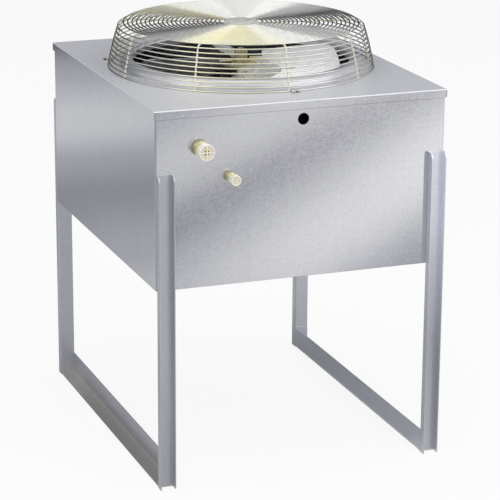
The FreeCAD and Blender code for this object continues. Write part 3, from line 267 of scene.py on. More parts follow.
def guard_side():
    verts, faces = [], []
    for height in side_ring_heights():
        add_ring(verts, faces, ring_radius(height), COVER_TOP + height, RING_WIRE)
    side = new_piece("guard_side_wires", verts, faces)
    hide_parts("guard_side_rings")
    return side


def guard_top():
    """Crown rings, whose thicker wire keeps its top where the side rings' wire has it."""
    verts, faces = [], []
    for radius in top_ring_radii():
        height = COVER_TOP + ring_height(radius) + RING_WIRE - CROWN_WIRE
        add_ring(verts, faces, radius, height, CROWN_WIRE)
    top = new_piece("guard_top_wires", verts, faces)
    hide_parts("guard_top_rings")
    return top


def guard_ribs():
    verts, faces = [], []
    profile = rib_profile()
    for angle in rib_angles():
        path = [Vector((r * math.cos(angle), AXIS_Y + r * math.sin(angle), COVER_TOP + z))
                for r, z in profile]
        add_tube(verts, faces, path, [rib_thickness(r, z) for r, z in profile], RIB_SIDES)
    ribs = new_piece("guard_rib_wires", verts, faces)
    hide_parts("guard_ribs")
    return ribs


def guard():
    side, top, ribs = guard_side(), guard_top(), guard_ribs()
    return side, top, ribs


# Coil: thin fins and round bends

def fins(columns=14):
    """Thin flat fins whose lower and upper edges wave slowly, each fin in its own way."""
    verts, faces = [], []
    count = int((COIL_BACK - COIL_FRONT) / FIN_PITCH)
    low, high = COIL_FOOT, COIL_FOOT + COIL_HEIGHT
    pace_x, pace_y = FIN_WAVE_PACE
    # Each column holds four heights, each with a point on the fin's front and on its back
    column = 8
    for k in range(count):
        y = COIL_FRONT + (k + 0.5) * (COIL_BACK - COIL_FRONT) / count
        start = len(verts)
        for j in range(columns):
            x = -COIL_HALF_WIDTH + 2 * COIL_HALF_WIDTH * j / (columns - 1)
            wave = FIN_WAVE * noise.noise(Vector((x * pace_x, y * pace_y, 0.3)))
            for z, lean in ((low, wave), (low + FIN_EDGE, 0.0), (high - FIN_EDGE, 0.0),
                            (high, -wave)):
                for half in (-FIN_THICKNESS / 2, FIN_THICKNESS / 2):
                    verts.append(Vector((x, y + lean + half, z)))
        for j in range(columns - 1):
            a = start + j * column
            b = a + column
            for step in (0, 2, 4):
                faces.append((a + step, a + step + 2, b + step + 2, b + step))
                faces.append((b + step + 1, b + step + 3, a + step + 3, a + step + 1))
            faces.append((a, b, b + 1, a + 1))
            faces.append((a + 6, a + 7, b + 7, b + 6))
    pack = new_piece("fin_pack", verts, faces, smooth_angle=None)
    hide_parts("coil_fins")
    return pack


def tube_place(row, index):
    """Place x, z of a tube, where the rows stand apart by an even triangle's height."""
    shift = -TUBE_PITCH / 4 if row == 0 else TUBE_PITCH / 4
    rise = TUBE_PITCH * math.sqrt(3) / 2
    low = COIL_FOOT + (COIL_HEIGHT - rise) / 2
    return (index - (TUBES_IN_ROW - 1) / 2) * TUBE_PITCH + shift, low + row * rise


def coil_joins(front, back):
    """Pairs of tubes that a bend joins, with the bend's place along y and the way it points."""
    joins = []
    for row in (0, 1):
        for i in range(0, TUBES_IN_ROW - 1, 2):
            joins.append((tube_place(row, i), tube_place(row, i + 1), back, 1))
        for i in range(1, TUBES_IN_ROW - 1, 2):
            joins.append((tube_place(row, i), tube_place(row, i + 1), front, -1))
    last = TUBES_IN_ROW - 1
    joins.append((tube_place(0, last), tube_place(1, last), front, -1))
    return joins


def coil(bend_steps=16):
    """The serpentine as one run of round tubes and half-circle bends."""
    verts, faces = [], []
    front = COIL_FRONT - END_PLATE - TUBE_OUT
    back = COIL_BACK + END_PLATE + TUBE_OUT
    for row in (0, 1):
        for i in range(TUBES_IN_ROW):
            x, z = tube_place(row, i)
            straight = [Vector((x, front, z)), Vector((x, back, z))]
            add_tube(verts, faces, straight, TUBE_RADIUS, TUBE_SIDES)
    for (xa, za), (xb, zb), y, out in coil_joins(front, back):
        a, b = Vector((xa, y, za)), Vector((xb, y, zb))
        middle, half = (a + b) / 2, (b - a) / 2
        outward = Vector((0, out * half.length, 0))
        turns = [math.pi * s / bend_steps for s in range(bend_steps + 1)]
        path = [middle - half * math.cos(t) + outward * math.sin(t) for t in turns]
        add_tube(verts, faces, path, TUBE_RADIUS, TUBE_SIDES)
        for end in (a, b):
            cuff = [end + Vector((0, out * d, 0)) for d in CUFF_PLACES]
            add_tube(verts, faces, cuff, CUFF_RADIUS, TUBE_SIDES)
    tubes = new_piece("coil_serpentine", verts, faces, smooth_angle=50)
    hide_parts("coil_tubes")
    return tubes


# Couplings with real threads

def polar_skin(verts, faces, origin, rows, columns):
    """Skin round the -Y direction, whose rows give a depth and a radius for each angle."""
    start = len(verts)
    for depth, radius in rows:
        for k in range(columns):
            a = 2 * math.pi * k / columns
            r = radius(a)
            verts.append(origin + Vector((r * math.cos(a), -depth, r * math.sin(a))))
    faces += grid_faces(len(rows), columns, start, close_columns=True)


def hex_radius(flats, limit):
    """Radius of a hexagon with its corners cut to a limit."""
    def radius(a):
        part = (a + math.pi / 6) % (math.pi / 3) - math.pi / 6
        return min(flats / 2 / math.cos(part), limit)
    return radius


def plain(r):
    return lambda a: r


def thread_radius(depth, barrel, pitch, first, last):
    """Radius of a helical thread that fades out at both of its ends."""
    def radius(a):
        turn = (depth / pitch - a / (2 * math.pi)) % 1.0
        groove = max(0.0, 1.0 - abs(turn - 0.5) / GROOVE_HALF)
        fade = max(0.0, min(1.0, (depth - first) / THREAD_FADE, (last - depth) / THREAD_FADE))
        return barrel - THREAD_CUT * groove * fade
    return radius


def coupling(name, node, fit):
    """Hexagon with a chamfered front, a neck, the threaded barrel with its bore, and the stem."""
    verts, faces = [], []
    origin = Vector((fit.x, PANEL_SEAT, fit.z))
    corner = fit.flats / math.sqrt(3)
    first, last = NECK_FRONT + NECK_CHAMFER, fit.reach - END_CHAMFER
    point = plain(0.0002)
    rows = [(0.0, plain(fit.stem)),
            (0.0, hex_radius(fit.flats, corner)),
            (HEXAGON_FRONT - CORNER_START, hex_radius(fit.flats, corner)),
            (HEXAGON_FRONT - CORNER_STEEP, hex_radius(fit.flats, corner * 0.95)),
            (HEXAGON_FRONT, hex_radius(fit.flats, fit.flats / 2 - 0.0004)),
            (HEXAGON_FRONT, plain(fit.barrel - NECK_CUT)),
            (NECK_FRONT, plain(fit.barrel - NECK_CUT)),
            (NECK_FRONT, plain(fit.barrel - NECK_CHAMFER)),
            (first, plain(fit.barrel))]
    steps = int((last - first) / THREAD_STEP)
    for k in range(1, steps + 1):
        d = first + (last - first) * k / steps
        rows.append((d, thread_radius(d, fit.barrel, fit.pitch, first, last)))
    rows += [(fit.reach, plain(fit.barrel - END_CHAMFER)),
             (fit.reach, plain(fit.barrel * BORE_SHARE)),
             (fit.reach - BORE_DEPTH, plain(fit.barrel * BORE_SHARE)),
             (fit.reach - BORE_DEPTH, point)]
    polar_skin(verts, faces, origin, rows, BARREL_SIDES)
    stem = [(-fit.inner, point), (-fit.inner, plain(fit.stem)), (0.0, plain(fit.stem))]
    polar_skin(verts, faces, origin, stem, STEM_SIDES)
    piece = new_piece(name, verts, faces, smooth_angle=28)
    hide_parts(node)
    return piece


# Node trees for the looks

class Nodes:
    """Short calls that build a node tree."""

    def __init__(self, tree):
        self.tree = tree
        tree.nodes.clear()

    def add(self, kind, operation=None, **inputs):
        """New node, with its inputs by name or, as i0, i1 and so on, by number."""
        node = self.tree.nodes.new("ShaderNode" + kind)
        if operation:
            node.operation = operation
        for key, value in inputs.items():
            self.put(node, key.replace("_", " "), value)
        return node

    def put(self, node, key, value):
        """A value or another node's output, into one input."""
        numbered = key[0] == "i" and key[1:].isdigit()
        socket = node.inputs[int(key[1:]) if numbered else key]
        if isinstance(value, bpy.types.NodeSocket):
            self.tree.links.new(value, socket)
        else:
            socket.default_value = value

    def math(self, operation, a, b=0.0, clamp=False):
        node = self.add("Math", operation, i0=a, i1=b)
        node.use_clamp = clamp
        return node.outputs[0]

    def product(self, first, *others):
        for value in others:
            first = self.math("MULTIPLY", first, value)
        return first

    def weighted(self, *pairs):
        """Sum of values, each times its weight."""
        total = 0.0
        for value, weight in pairs:
            total = self.math("ADD", self.math("MULTIPLY", value, weight), total)
        return total

    def span(self, value, low, high, a=0.0, b=1.0):
        """The part of value between low and high, spread from a to b and held there beyond them."""
        node = self.add("MapRange", Value=value, From_Min=low, From_Max=high, To_Min=a, To_Max=b)
        return node.outputs[0]

    def near(self, value, centre, inner, outer, a=1.0, b=0.0):
        """From a, where value lies within inner of the centre, to b outside outer."""
        away = self.math("ABSOLUTE", self.math("SUBTRACT", value, centre))
        return self.span(away, inner, outer, a, b)

    def mix(self, fac, a, b):
        """Mix of two colours."""
        node = self.tree.nodes.new("ShaderNodeMix")
        node.data_type = "RGBA"
        self.put(node, "i0", fac)
        self.put(node, "i6", a)
        self.put(node, "i7", b)
        return node.outputs[2]

    def blend(self, fac, a, b):
        """Mix of two plain values."""
        return self.add("Mix", i0=fac, i2=a, i3=b).outputs[0]

    def ramp(self, value, stops):
        """Grey steps between places in value, eased from one to the next, of tones up to 2."""
        low, high = stops[0][0], stops[-1][0]
        node = self.tree.nodes.new("ShaderNodeValToRGB")
        ramp = node.color_ramp
        ramp.interpolation = "EASE"
        while len(ramp.elements) < len(stops):
            ramp.elements.new(0.5)
        for element, (place, tone) in zip(ramp.elements, stops):
            element.position = (place - low) / (high - low)
            element.color = (tone / 2, tone / 2, tone / 2, 1.0)
        self.put(node, "Fac", self.span(value, low, high))
        return self.math("MULTIPLY", self.channel(node.outputs["Color"]), 2.0)

    def noise(self, where, scale, detail=2.0, rough=0.5):
        node = self.add("TexNoise", Vector=where, Scale=scale, Detail=detail, Roughness=rough)
        return node.outputs["Fac"]

    def cells(self, where, scale):
        """Crystals, each of one random colour."""
        return self.add("TexVoronoi", Vector=where, Scale=scale).outputs["Color"]

    def spread(self, where, factors):
        return self.add("VectorMath", "MULTIPLY", i0=where, i1=factors).outputs[0]

    def scaled(self, colour, level):
        return self.add("VectorMath", "SCALE", i0=colour, Scale=level).outputs[0]

    def from_axis(self, where):
        """Distance from the fan's axis."""
        moved = self.add("Mapping", Vector=where, Location=(0, -AXIS_Y, 0)).outputs[0]
        level = self.spread(moved, (1, 1, 0))
        return self.add("VectorMath", "LENGTH", i0=level).outputs["Value"]

    def axes(self, where):
        node = self.add("SeparateXYZ", Vector=where)
        return node.outputs["X"], node.outputs["Y"], node.outputs["Z"]

    def channel(self, colour, which=0):
        return self.add("SeparateColor", Color=colour).outputs[which]


def grey(v, tint=(1.0, 1.0, 1.0)):
    return (v * tint[0], v * tint[1], v * tint[2], 1.0)


def start_material(name):
    mat = bpy.data.materials.new(name)
    mat.use_nodes = True
    n = Nodes(mat.node_tree)
    out = n.add("OutputMaterial")
    shader = n.add("BsdfPrincipled")
    n.tree.links.new(shader.outputs[0], out.inputs["Surface"])
    where = n.add("TexCoord").outputs["Object"]
    return mat, n, shader, where


def bumps(n, shader, layers):
    """Stacks bump layers given as height, strength and distance."""
    normal = None
    for height, strength, distance in layers:
        node = n.add("Bump", Height=height, Strength=strength, Distance=distance)
        if normal is not None:
            n.put(node, "Normal", normal)
        normal = node.outputs[0]
    n.put(shader, "Normal", normal)


# Zinc-coated sheet

def sheet_crystals(n, where, cell):
    """Large and small crystals with ragged edges, as two tones from 0 to 1."""
    ragged = n.add("TexNoise", Vector=where, Scale=90.0, Detail=1.0).outputs["Color"]
    shifted = n.add("VectorMath", "ADD", i0=where,
                    i1=n.spread(ragged, (0.003, 0.003, 0.003))).outputs[0]
    return n.channel(n.cells(shifted, cell)), n.channel(n.cells(shifted, cell * 2.3), 1)


def painted_sheet_light(n, where, painted_leg_light_strength):
    """Painted shadow at the foot of the cover's lip, painted highlights along the folds of cover
    and rails, and painted light on a leg's upper part.
    """
    x, y, z = n.axes(where)
    # Painted shadow: a thin darker band just below the cover's lip
    lip = n.near(z, LIP_FOOT - 0.0010, 0.0008, 0.0016, 0.74, 1.0)
    # Painted highlight: a brighter line along the cover's top bend
    fold = n.near(z, COVER_TOP - 0.0013, 0.0006, 0.0010, 1.25, 1.0)
    # Painted highlight: a brighter line along the base rails' fold
    painted_crease_highlight = n.product(n.near(z, RAIL_FOLD, 0.0010, 0.0018, 0.45, 0.0),
                       n.near(y, AXIS_Y, RAIL_HALF, RAIL_HALF + 0.02))
    # Only the front right leg lies this far along x - y
    corner = n.span(n.math("SUBTRACT", x, y), 0.66, 0.68)
    # Painted light: the front right leg grows paler from 0.28 m up to 0.60 m
    painted_leg_light = n.product(n.span(z, 0.28, 0.60, 0.0, painted_leg_light_strength), corner)
    return n.product(lip, fold, n.math("ADD", painted_crease_highlight, 1.0), n.math("ADD", painted_leg_light, 1.0))


def galvanised(name, dark, light, tint, rough, cell, cloud, wave, streak=0.0, metal=0.95,
               painted_leg_light_strength=0.0):
    """Small crystals, fine rolling lines and faint clouds, calmer on cover and orifice."""
    mat, n, shader, where = start_material(name)
    crystal, small = sheet_crystals(n, where, cell)
    broad = n.noise(where, 2.6)
    grain = n.noise(where, 620, 2.0, 0.6)
    lines = n.noise(n.spread(where, (1.0, 1.0, 0.02)), 230, 2.0, 0.6)
    cross = n.noise(n.spread(where, (0.03, 0.03, 1.0)), 260, 2.0, 0.6)
    mixed = n.weighted((crystal, 0.22), (small, 0.16), (grain, 0.14), (lines, 0.16 + streak),
                       (cross, 0.14), (n.span(broad, 0.3, 0.7, 0.0, cloud), 1.0))
    share = n.span(mixed, 0.2, 0.65 + streak / 2 + cloud)
    height = n.axes(where)[2]
    flat = n.near(height, COVER_TOP, 0.0024, 0.0032)
    bell = n.product(n.span(n.from_axis(where), 0.300, 0.312, 1.0, 0.0),
                     n.span(height, COVER_TOP - 0.09, COVER_TOP - 0.08))
    calm = n.math("MAXIMUM", flat, bell)
    share = n.blend(n.product(calm, 0.76), share, 0.95)
    colour = n.mix(share, grey(dark, tint), grey(light, tint))
    foot = n.span(height, 0.0036, 0.0046, 1.0, 0.0)
    colour = n.mix(foot, colour, grey(light, (1.05, 0.99, 0.93)))
    # The colour is scaled by painted shadow below the lip, painted highlights on the folds and
    # painted light on a leg
    n.put(shader, "Base Color", n.scaled(colour, painted_sheet_light(n, where, painted_leg_light_strength)))
    n.put(shader, "Metallic", n.blend(flat, n.span(bell, 0.0, 1.0, metal, 0.75), 0.12))
    dull = n.span(n.math("ADD", crystal, grain), 0.3, 1.5, rough - 0.01, rough + 0.02)
    n.put(shader, "Roughness", n.blend(calm, dull, n.span(bell, 0.0, 1.0, 0.25, 0.40)))
    slow = n.noise(where, 2.6, 1.0, 0.4)
    bumps(n, shader, [(slow, 1.0, wave), (grain, 0.03, 0.00002)])
    return mat


# Other looks

def zinc(name, base, tint, rough=0.3, metal=0.9):
    """Plain plated small parts."""
    mat, n, shader, where = start_material(name)
    grain = n.noise(where, 420, 3.0, 0.6)
    patch = n.noise(where, 38)
    share = n.weighted((grain, 0.4), (patch, 0.6))
    n.put(shader, "Base Color", n.mix(n.span(share, 0.3, 0.7), grey(base * 0.82, tint),
                                      grey(base * 1.1, tint)))
    n.put(shader, "Metallic", metal)
    n.put(shader, "Roughness", n.span(patch, 0.3, 0.7, rough - 0.06, rough + 0.08))
    bumps(n, shader, [(grain, 0.3, 0.00005)])
    return mat


def wire_finish():
    """Zinc on drawn wire, with pale yellow passivate laid only in the two wide sectors of the guard
    where its highlight falls, as a painted yellow sheen.
    """
    mat, n, shader, where = start_material("guard_wire")
    drawn = n.noise(n.spread(where, (1.0, 1.0, 8.0)), 90)
    patch = n.noise(where, 9.0)
    x, y = n.axes(where)[:2]
    turn = n.math("ARCTAN2", n.math("SUBTRACT", y, AXIS_Y), x)
    # Painted sheen: the yellow tint follows the two sectors where the guard's highlight falls
    front = n.near(turn, -2.05, 0.18, 0.62)
    back = n.near(turn, 2.35, 0.18, 0.62)
    yellow = n.product(n.math("MAXIMUM", front, back), n.span(patch, 0.3, 0.6, 0.55, 1.0))
    tint = n.mix(yellow, (0.66, 0.665, 0.645, 1), (0.70, 0.66, 0.42, 1))
    n.put(shader, "Base Color", n.mix(n.span(drawn, 0.3, 0.7, 0.0, 0.3), tint,
                                      (0.52, 0.53, 0.53, 1)))
    n.put(shader, "Metallic", 1.0)
    n.put(shader, "Roughness", n.span(drawn, 0.3, 0.7, 0.13, 0.24))
    bumps(n, shader, [(drawn, 0.2, 0.0001)])
    return mat


def blade_finish():
    """Rolled aluminium sheet."""
    mat, n, shader, where = start_material("blade_aluminium")
    rolled = n.noise(n.spread(where, (3.0, 60.0, 60.0)), 5.0, 3.0, 0.6)
    grain = n.noise(where, 500)
    n.put(shader, "Base Color", n.mix(rolled, (0.80, 0.805, 0.81, 1), (0.88, 0.885, 0.89, 1)))
    n.put(shader, "Metallic", 0.55)
    n.put(shader, "Roughness", n.span(rolled, 0.3, 0.7, 0.24, 0.34))
    bumps(n, shader, [(rolled, 0.12, 0.00006), (grain, 0.15, 0.00003)])
    return mat


def chromate():
    """Plated steel of the fan's spider and hub, olive in the middle and bare zinc on the arms."""
    mat, n, shader, where = start_material("fan_steel")
    patch = n.noise(where, 24, 3.0, 0.55)
    worn = n.span(patch, 0.35, 0.65)
    olive = n.mix(worn, (0.50, 0.43, 0.22, 1), (0.56, 0.52, 0.36, 1))
    bare = n.mix(worn, (0.70, 0.70, 0.68, 1), (0.80, 0.80, 0.77, 1))
    n.put(shader, "Base Color", n.mix(n.span(n.from_axis(where), 0.040, 0.062), olive, bare))
    n.put(shader, "Metallic", 0.6)
    n.put(shader, "Roughness", n.span(patch, 0.3, 0.7, 0.28, 0.42))
    bumps(n, shader, [(n.noise(where, 600), 0.2, 0.00004)])
    return mat


def painted():
    """Black paint with a fine orange peel."""
    mat, n, shader, where = start_material("motor_paint")
    peel = n.noise(where, 260)
    n.put(shader, "Base Color", n.mix(peel, (0.016, 0.017, 0.018, 1), (0.04, 0.041, 0.043, 1)))
    n.put(shader, "Roughness", n.span(peel, 0.3, 0.7, 0.32, 0.48))
    bumps(n, shader, [(peel, 0.3, 0.00012)])
    return mat


def copper():
    mat, n, shader, where = start_material("copper")
    patina = n.noise(where, 30, 4.0, 0.6)
    n.put(shader, "Base Color", n.mix(n.span(patina, 0.35, 0.7), (0.86, 0.46, 0.30, 1),
                                      (0.50, 0.27, 0.19, 1)))
    n.put(shader, "Metallic", 0.95)
    n.put(shader, "Roughness", n.span(patina, 0.3, 0.7, 0.22, 0.45))
    bumps(n, shader, [(n.noise(where, 300), 0.15, 0.00005)])
    return mat


def brass():
    """Turned brass with fine rings along its length."""
    mat, n, shader, where = start_material("brass")
    turned = n.noise(n.spread(where, (1.0, 22.0, 1.0)), 90)
    patch = n.noise(where, 60)
    n.put(shader, "Base Color", n.mix(n.span(patch, 0.3, 0.7), (0.93, 0.87, 0.55, 1),
                                      (0.80, 0.74, 0.44, 1)))
    n.put(shader, "Metallic", 0.8)
    n.put(shader, "Roughness", n.span(turned, 0.3, 0.7, 0.26, 0.40))
    bumps(n, shader, [(turned, 0.25, 0.00005)])
    return mat


def plastic():
    """Ivory moulded plastic, darker in the sunken faces of the two caps."""
    mat, n, shader, where = start_material("ivory_plastic")
    skin = n.noise(where, 900)
    patch = n.noise(where, 30)
    ivory = n.mix(n.span(patch, 0.3, 0.7), (0.87, 0.845, 0.74, 1), (0.91, 0.89, 0.80, 1))
    x, y, z = n.axes(where)
    sunk = 0.0
    for fit in (LARGE, SMALL):
        dx = n.math("SUBTRACT", x, fit.x)
        dz = n.math("SUBTRACT", z, fit.z)
        away = n.math("SQRT", n.math("ADD", n.product(dx, dx), n.product(dz, dz)))
        inside = n.math("LESS_THAN", away, fit.cap_well)
        deep = n.span(y, fit.cap_rim + 0.0006, fit.cap_rim + 0.0024)
        sunk = n.math("ADD", n.product(inside, deep), sunk)
    n.put(shader, "Base Color", n.mix(sunk, ivory, (0.80, 0.72, 0.57, 1)))
    n.put(shader, "Subsurface Weight", 0.12)
    n.put(shader, "Subsurface Radius", (0.004, 0.003, 0.0015))
    n.put(shader, "Subsurface Scale", 1.0)
    n.put(shader, "Roughness", n.span(skin, 0.3, 0.7, 0.34, 0.46))
    bumps(n, shader, [(skin, 0.2, 0.00005)])
    return mat


def fin_finish():
    """Dusty aluminium."""
    mat, n, shader, where = start_material("fin_aluminium")
    dust = n.noise(where, 14, 3.0, 0.6)
    n.put(shader, "Base Color", n.mix(n.span(dust, 0.35, 0.65), (0.66, 0.67, 0.68, 1),
                                      (0.80, 0.80, 0.80, 1)))
    n.put(shader, "Metallic", 0.8)
    n.put(shader, "Roughness", n.span(dust, 0.3, 0.7, 0.32, 0.5))
    return mat


def rubber():
    """Black jacket of the motor's lead, a little scuffed."""
    mat, n, shader, where = start_material("lead_jacket")
    scuff = n.noise(where, 120, 3.0)
    n.put(shader, "Base Color", n.mix(scuff, (0.016, 0.016, 0.017, 1), (0.05, 0.05, 0.05, 1)))
    n.put(shader, "Roughness", n.span(scuff, 0.3, 0.7, 0.5, 0.7))
    bumps(n, shader, [(scuff, 0.2, 0.0001)])
    return mat


def materials():
    cool = (0.985, 0.99, 1.04)
    cooler = (0.97, 0.985, 1.05)
    neutral = (1.0, 1.0, 1.0)
    return {
        "galvanised": galvanised("galvanised", 0.54, 0.69, cool, 0.12, 250.0, 0.07, 0.0002),
        # The legs' sheet takes painted light on the front right leg's upper part
        "leg_steel": galvanised("leg_steel", 0.54, 0.63, cooler, 0.33, 170.0, 0.05, 0.0003,
                                streak=0.12, metal=0.78, painted_leg_light_strength=0.5),
        "fastener_zinc": zinc("fastener_zinc", 0.62, cool),
        "clip_steel": zinc("clip_steel", 0.50, (1.0, 1.0, 0.98), 0.42, 0.7),
        "screw_oxide": zinc("screw_oxide", 0.16, neutral, 0.4, 0.7),
        "guard_wire": wire_finish(),
        "rib_wire": zinc("rib_wire", 0.80, (1.0, 0.965, 0.82), 0.35, 0.45),
        "guard_plate": zinc("guard_plate", 0.72, (1.0, 0.99, 0.92), 0.30, 0.25),
        "fan_steel": chromate(),
        "rivet_aluminium": zinc("rivet_aluminium", 0.72, neutral),
        "blade_aluminium": blade_finish(),
        "shaft_steel": zinc("shaft_steel", 0.48, (1.0, 1.0, 1.01), 0.25),
        "motor_paint": painted(),
        "bearing_bronze": zinc("bearing_bronze", 0.60, (1.0, 0.72, 0.40), 0.35),
        "fin_aluminium": fin_finish(),
        "copper": copper(),
        "brass": brass(),
        "ivory_plastic": plastic(),
        "lead_jacket": rubber(),
    }


# Clips and their screws are darker than the other fasteners
OWN_LOOK = {"guard_clips": "clip_steel", "guard_clip_screws": "screw_oxide"}


def dress(finish):
    """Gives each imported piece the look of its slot, or its own look."""
    slot_of = {s["node"]: s["material_slot"] for s in frame["record"]["subparts"]}
    for name, obj in nodes.items():
        obj.data.materials.clear()
        obj.data.materials.append(finish[OWN_LOOK.get(name, slot_of[name])])


# Camera: angles in radians, and the focal length and width in pixels of the view it matches
CAMERA_YAW, CAMERA_PITCH, CAMERA_ROLL = 0.36169, 0.29250, 0.0062967
CAMERA_PLACE = (-1.86626, AXIS_Y - 5.00522, 2.04313)
FOCAL_PIXELS = 2192.8
VIEW_PIXELS = 500
SENSOR_MM = 36.0


def camera():
    ahead = Vector((math.sin(CAMERA_YAW) * math.cos(CAMERA_PITCH),
                    math.cos(CAMERA_YAW) * math.cos(CAMERA_PITCH), -math.sin(CAMERA_PITCH)))
    right = Vector((math.cos(CAMERA_YAW), -math.sin(CAMERA_YAW), 0))
    up = right.cross(ahead)
    c, s = math.cos(CAMERA_ROLL), math.sin(CAMERA_ROLL)
    right, up = right * c + up * s, up * c - right * s
    data = bpy.data.cameras.new("camera")
    data.sensor_width = SENSOR_MM
    data.sensor_fit = "HORIZONTAL"
    data.lens = FOCAL_PIXELS / VIEW_PIXELS * SENSOR_MM
    data.clip_start = 0.1
    data.clip_end = 100
    cam = bpy.data.objects.new("camera", data)
    turn = Matrix((right, up, -ahead)).transposed().to_4x4()
    cam.matrix_world = Matrix.Translation(CAMERA_PLACE) @ turn
    bpy.context.scene.collection.objects.link(cam)
    bpy.context.scene.camera = cam


# Tones that the metal mirrors, as places and tones. Those of the floor in front run along x + y,
# the near ones close by and the front ones further out. Those of the floor behind run along y,
# and those of the sky along the height of the mirrored ray.
FRONT_BANDS = ((-3.1, 0.41), (-2.87, 0.90), (-2.42, 0.90), (-2.15, 0.16), (-1.87, 0.74),
               (-1.52, 1.19), (-1.30, 1.24), (-0.97, 0.62), (-0.50, 0.10), (0.6, 0.70))
NEAR_BANDS = ((-2.2, 0.50), (-1.55, 0.80), (-0.89, 0.50), (-0.48, 0.56), (-0.05, 0.75),
              (0.6, 0.80))
REAR_BANDS = ((0.3, 0.50), (1.1, 0.72), (1.43, 0.53), (2.2, 0.34), (2.62, 0.47), (3.07, 0.79),
              (3.28, 0.82), (4.3, 0.49), (4.9, 0.04), (6.0, 0.02))
SKY_BANDS = ((-0.2, 0.8), (0.10, 0.55), (0.18, 0.45), (0.195, 0.60), (0.207, 0.80),
             (0.216, 1.02), (0.226, 1.45), (0.245, 1.30), (0.28, 0.75), (1.0, 0.85))
FLOOR_SIZE = 30.0
FLOOR_HEIGHT = -0.0003
WHITE = (1, 1, 1, 1)


def floor_tone(n, x, y):
    """Tone of the floor in the metal, with darker ground beside and behind the cabinet and a
    painted shadow beneath it.
    """
    across = n.math("ADD", x, y)
    away = n.math("SUBTRACT", x, y)
    far = n.product(n.ramp(across, FRONT_BANDS), n.span(away, 1.5, 6.0, 0.78, 1.34))
    front = n.blend(n.span(away, 1.85, 2.35), n.ramp(across, NEAR_BANDS), far)
    beside = n.product(n.span(x, -0.9, -0.65), n.span(x, -0.2, 0.1, 1.0, 0.0))
    hidden = n.product(n.span(x, -0.3, 0.2), n.span(y, 1.3, 2.0))
    rear = n.product(n.ramp(y, REAR_BANDS), n.span(beside, 0.0, 1.0, 1.0, 0.70),
                     n.span(hidden, 0.0, 1.0, 1.0, 0.25))
    level = n.blend(n.span(y, -0.2, 0.4), front, rear)
    # Painted shadow on the floor beneath the cabinet, as the metal mirrors it
    painted_floor_shadow = n.product(n.span(x, 0.0, 0.2), n.span(x, 0.345, 0.385, 1.0, 0.0),
                      n.span(y, -0.40, -0.30), n.span(y, 0.5, 0.8, 1.0, 0.0))
    return n.product(level, n.span(painted_floor_shadow, 0.0, 1.0, 1.0, 0.60))


def floor_finish():
    """White in the view, with a soft shadow, banded in the metal, and open from below."""
    mat = bpy.data.materials.new("floor")
    mat.use_nodes = True
    n = Nodes(mat.node_tree)
    out = n.add("OutputMaterial")
    shader = n.add("BsdfPrincipled", Base_Color=(0.88, 0.88, 0.885, 1), Roughness=0.8)
    path = n.add("LightPath")
    x, y = n.axes(n.add("TexCoord").outputs["Object"])[:2]
    level = floor_tone(n, x, y)
    tint = n.mix(n.span(level, 0.4, 0.95), (0.955, 0.975, 1.055, 1), (1.0, 1.0, 0.99, 1))
    seen = n.mix(path.outputs["Is Camera Ray"], n.scaled(tint, level), WHITE)
    glow = n.add("Emission", Color=seen, Strength=1.0)
    share = n.math("ADD", n.product(path.outputs["Is Camera Ray"], 0.89),
                   n.product(path.outputs["Is Glossy Ray"], 0.9), clamp=True)
    above = n.add("MixShader", i0=share, i1=shader.outputs[0], i2=glow.outputs[0])
    both = n.add("MixShader", i0=n.add("NewGeometry").outputs["Backfacing"],
                 i1=above.outputs[0], i2=n.add("BsdfTransparent").outputs[0])
    n.tree.links.new(both.outputs[0], out.inputs["Surface"])
    return mat


def sky_tone(n, x, y, z):
    """Tone of the sky in the metal, brighter aside and dark behind but for dim windows."""
    aside = n.near(x, 0.0, 0.45, 0.80, 1.0, 1.5)
    behind = n.span(y, 0.45, 0.80, 1.0, 0.008)
    lower = n.product(n.near(x, 0.33, 0.12, 0.22), n.near(z, 0.23, 0.07, 0.13))
    upper = n.product(n.near(n.math("ABSOLUTE", x), 0.33, 0.16, 0.30),
                      n.near(z, 0.40, 0.06, 0.10))
    window = n.product(n.math("MAXIMUM", lower, upper), 0.22)
    return n.product(n.ramp(z, SKY_BANDS), aside, n.math("MAXIMUM", behind, window))


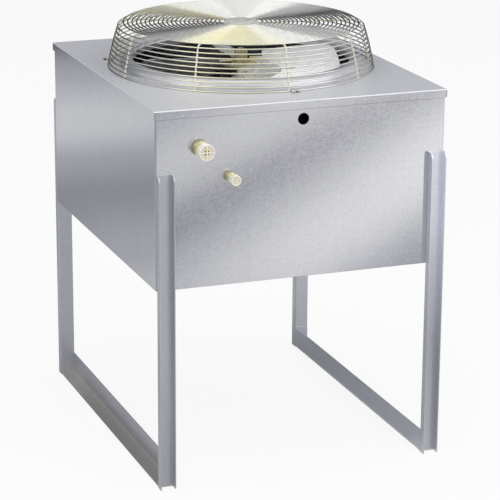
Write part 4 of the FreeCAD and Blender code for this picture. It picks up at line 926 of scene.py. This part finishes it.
def sky():
    """World that lights evenly, is white in the view and banded in the metal."""
    world = bpy.data.worlds.new("studio")
    bpy.context.scene.world = world
    world.use_nodes = True
    n = Nodes(world.node_tree)
    out = n.add("OutputWorld")
    path = n.add("LightPath")
    x, y, z = n.axes(n.add("TexCoord").outputs["Generated"])
    level = sky_tone(n, x, y, z)
    tint = n.mix(n.span(level, 0.15, 0.7), (0.90, 0.98, 1.12, 1), (1.0, 1.0, 0.995, 1))
    lit = n.mix(path.outputs["Is Glossy Ray"], (0.52, 0.53, 0.55, 1), n.scaled(tint, level))
    seen = n.mix(path.outputs["Is Camera Ray"], lit, WHITE)
    glow = n.add("Background", Color=seen, Strength=1.0)
    n.tree.links.new(glow.outputs[0], out.inputs["Surface"])


def lamp(name, place, aim, width, depth, power, colour=(1, 1, 1)):
    data = bpy.data.lights.new(name, "AREA")
    data.shape = "RECTANGLE"
    data.size = width
    data.size_y = depth
    data.energy = power
    data.color = colour
    light = bpy.data.objects.new(name, data)
    light.location = place
    light.rotation_mode = "QUATERNION"
    light.rotation_quaternion = (Vector(aim) - Vector(place)).to_track_quat("-Z", "Y")
    bpy.context.scene.collection.objects.link(light)


def stage():
    size, z = FLOOR_SIZE, FLOOR_HEIGHT
    mesh = bpy.data.meshes.new("floor")
    mesh.from_pydata([(-size, -size, z), (size, -size, z), (size, size, z), (-size, size, z)],
                     [], [(0, 1, 2, 3)])
    floor = bpy.data.objects.new("floor", mesh)
    bpy.context.scene.collection.objects.link(floor)
    floor.data.materials.append(floor_finish())
    sky()
    lamp("key", (2.6, -3.2, 3.4), (0, 0, 0.7), 5.0, 4.0, 92, (1.0, 0.99, 0.97))
    lamp("fill", (-3.6, -2.0, 2.2), (0, 0, 0.6), 2.5, 2.0, 20, (0.97, 0.985, 1.0))
    lamp("top", (-0.5, -0.4, 3.4), (0, 0.0, 0.9), 3.0, 3.0, 31)


finish = materials()
dress(finish)
for piece, look in zip(guard(), ("guard_wire", "guard_wire", "rib_wire")):
    piece.data.materials.append(finish[look])
fins().data.materials.append(finish["fin_aluminium"])
coil().data.materials.append(finish["copper"])
for piece in (coupling("large_coupling_body", "large_coupling", LARGE),
              coupling("small_coupling_body", "small_coupling", SMALL)):
    piece.data.materials.append(finish["brass"])
camera()
stage()
bpy.context.scene.view_settings.view_transform = "Standard"
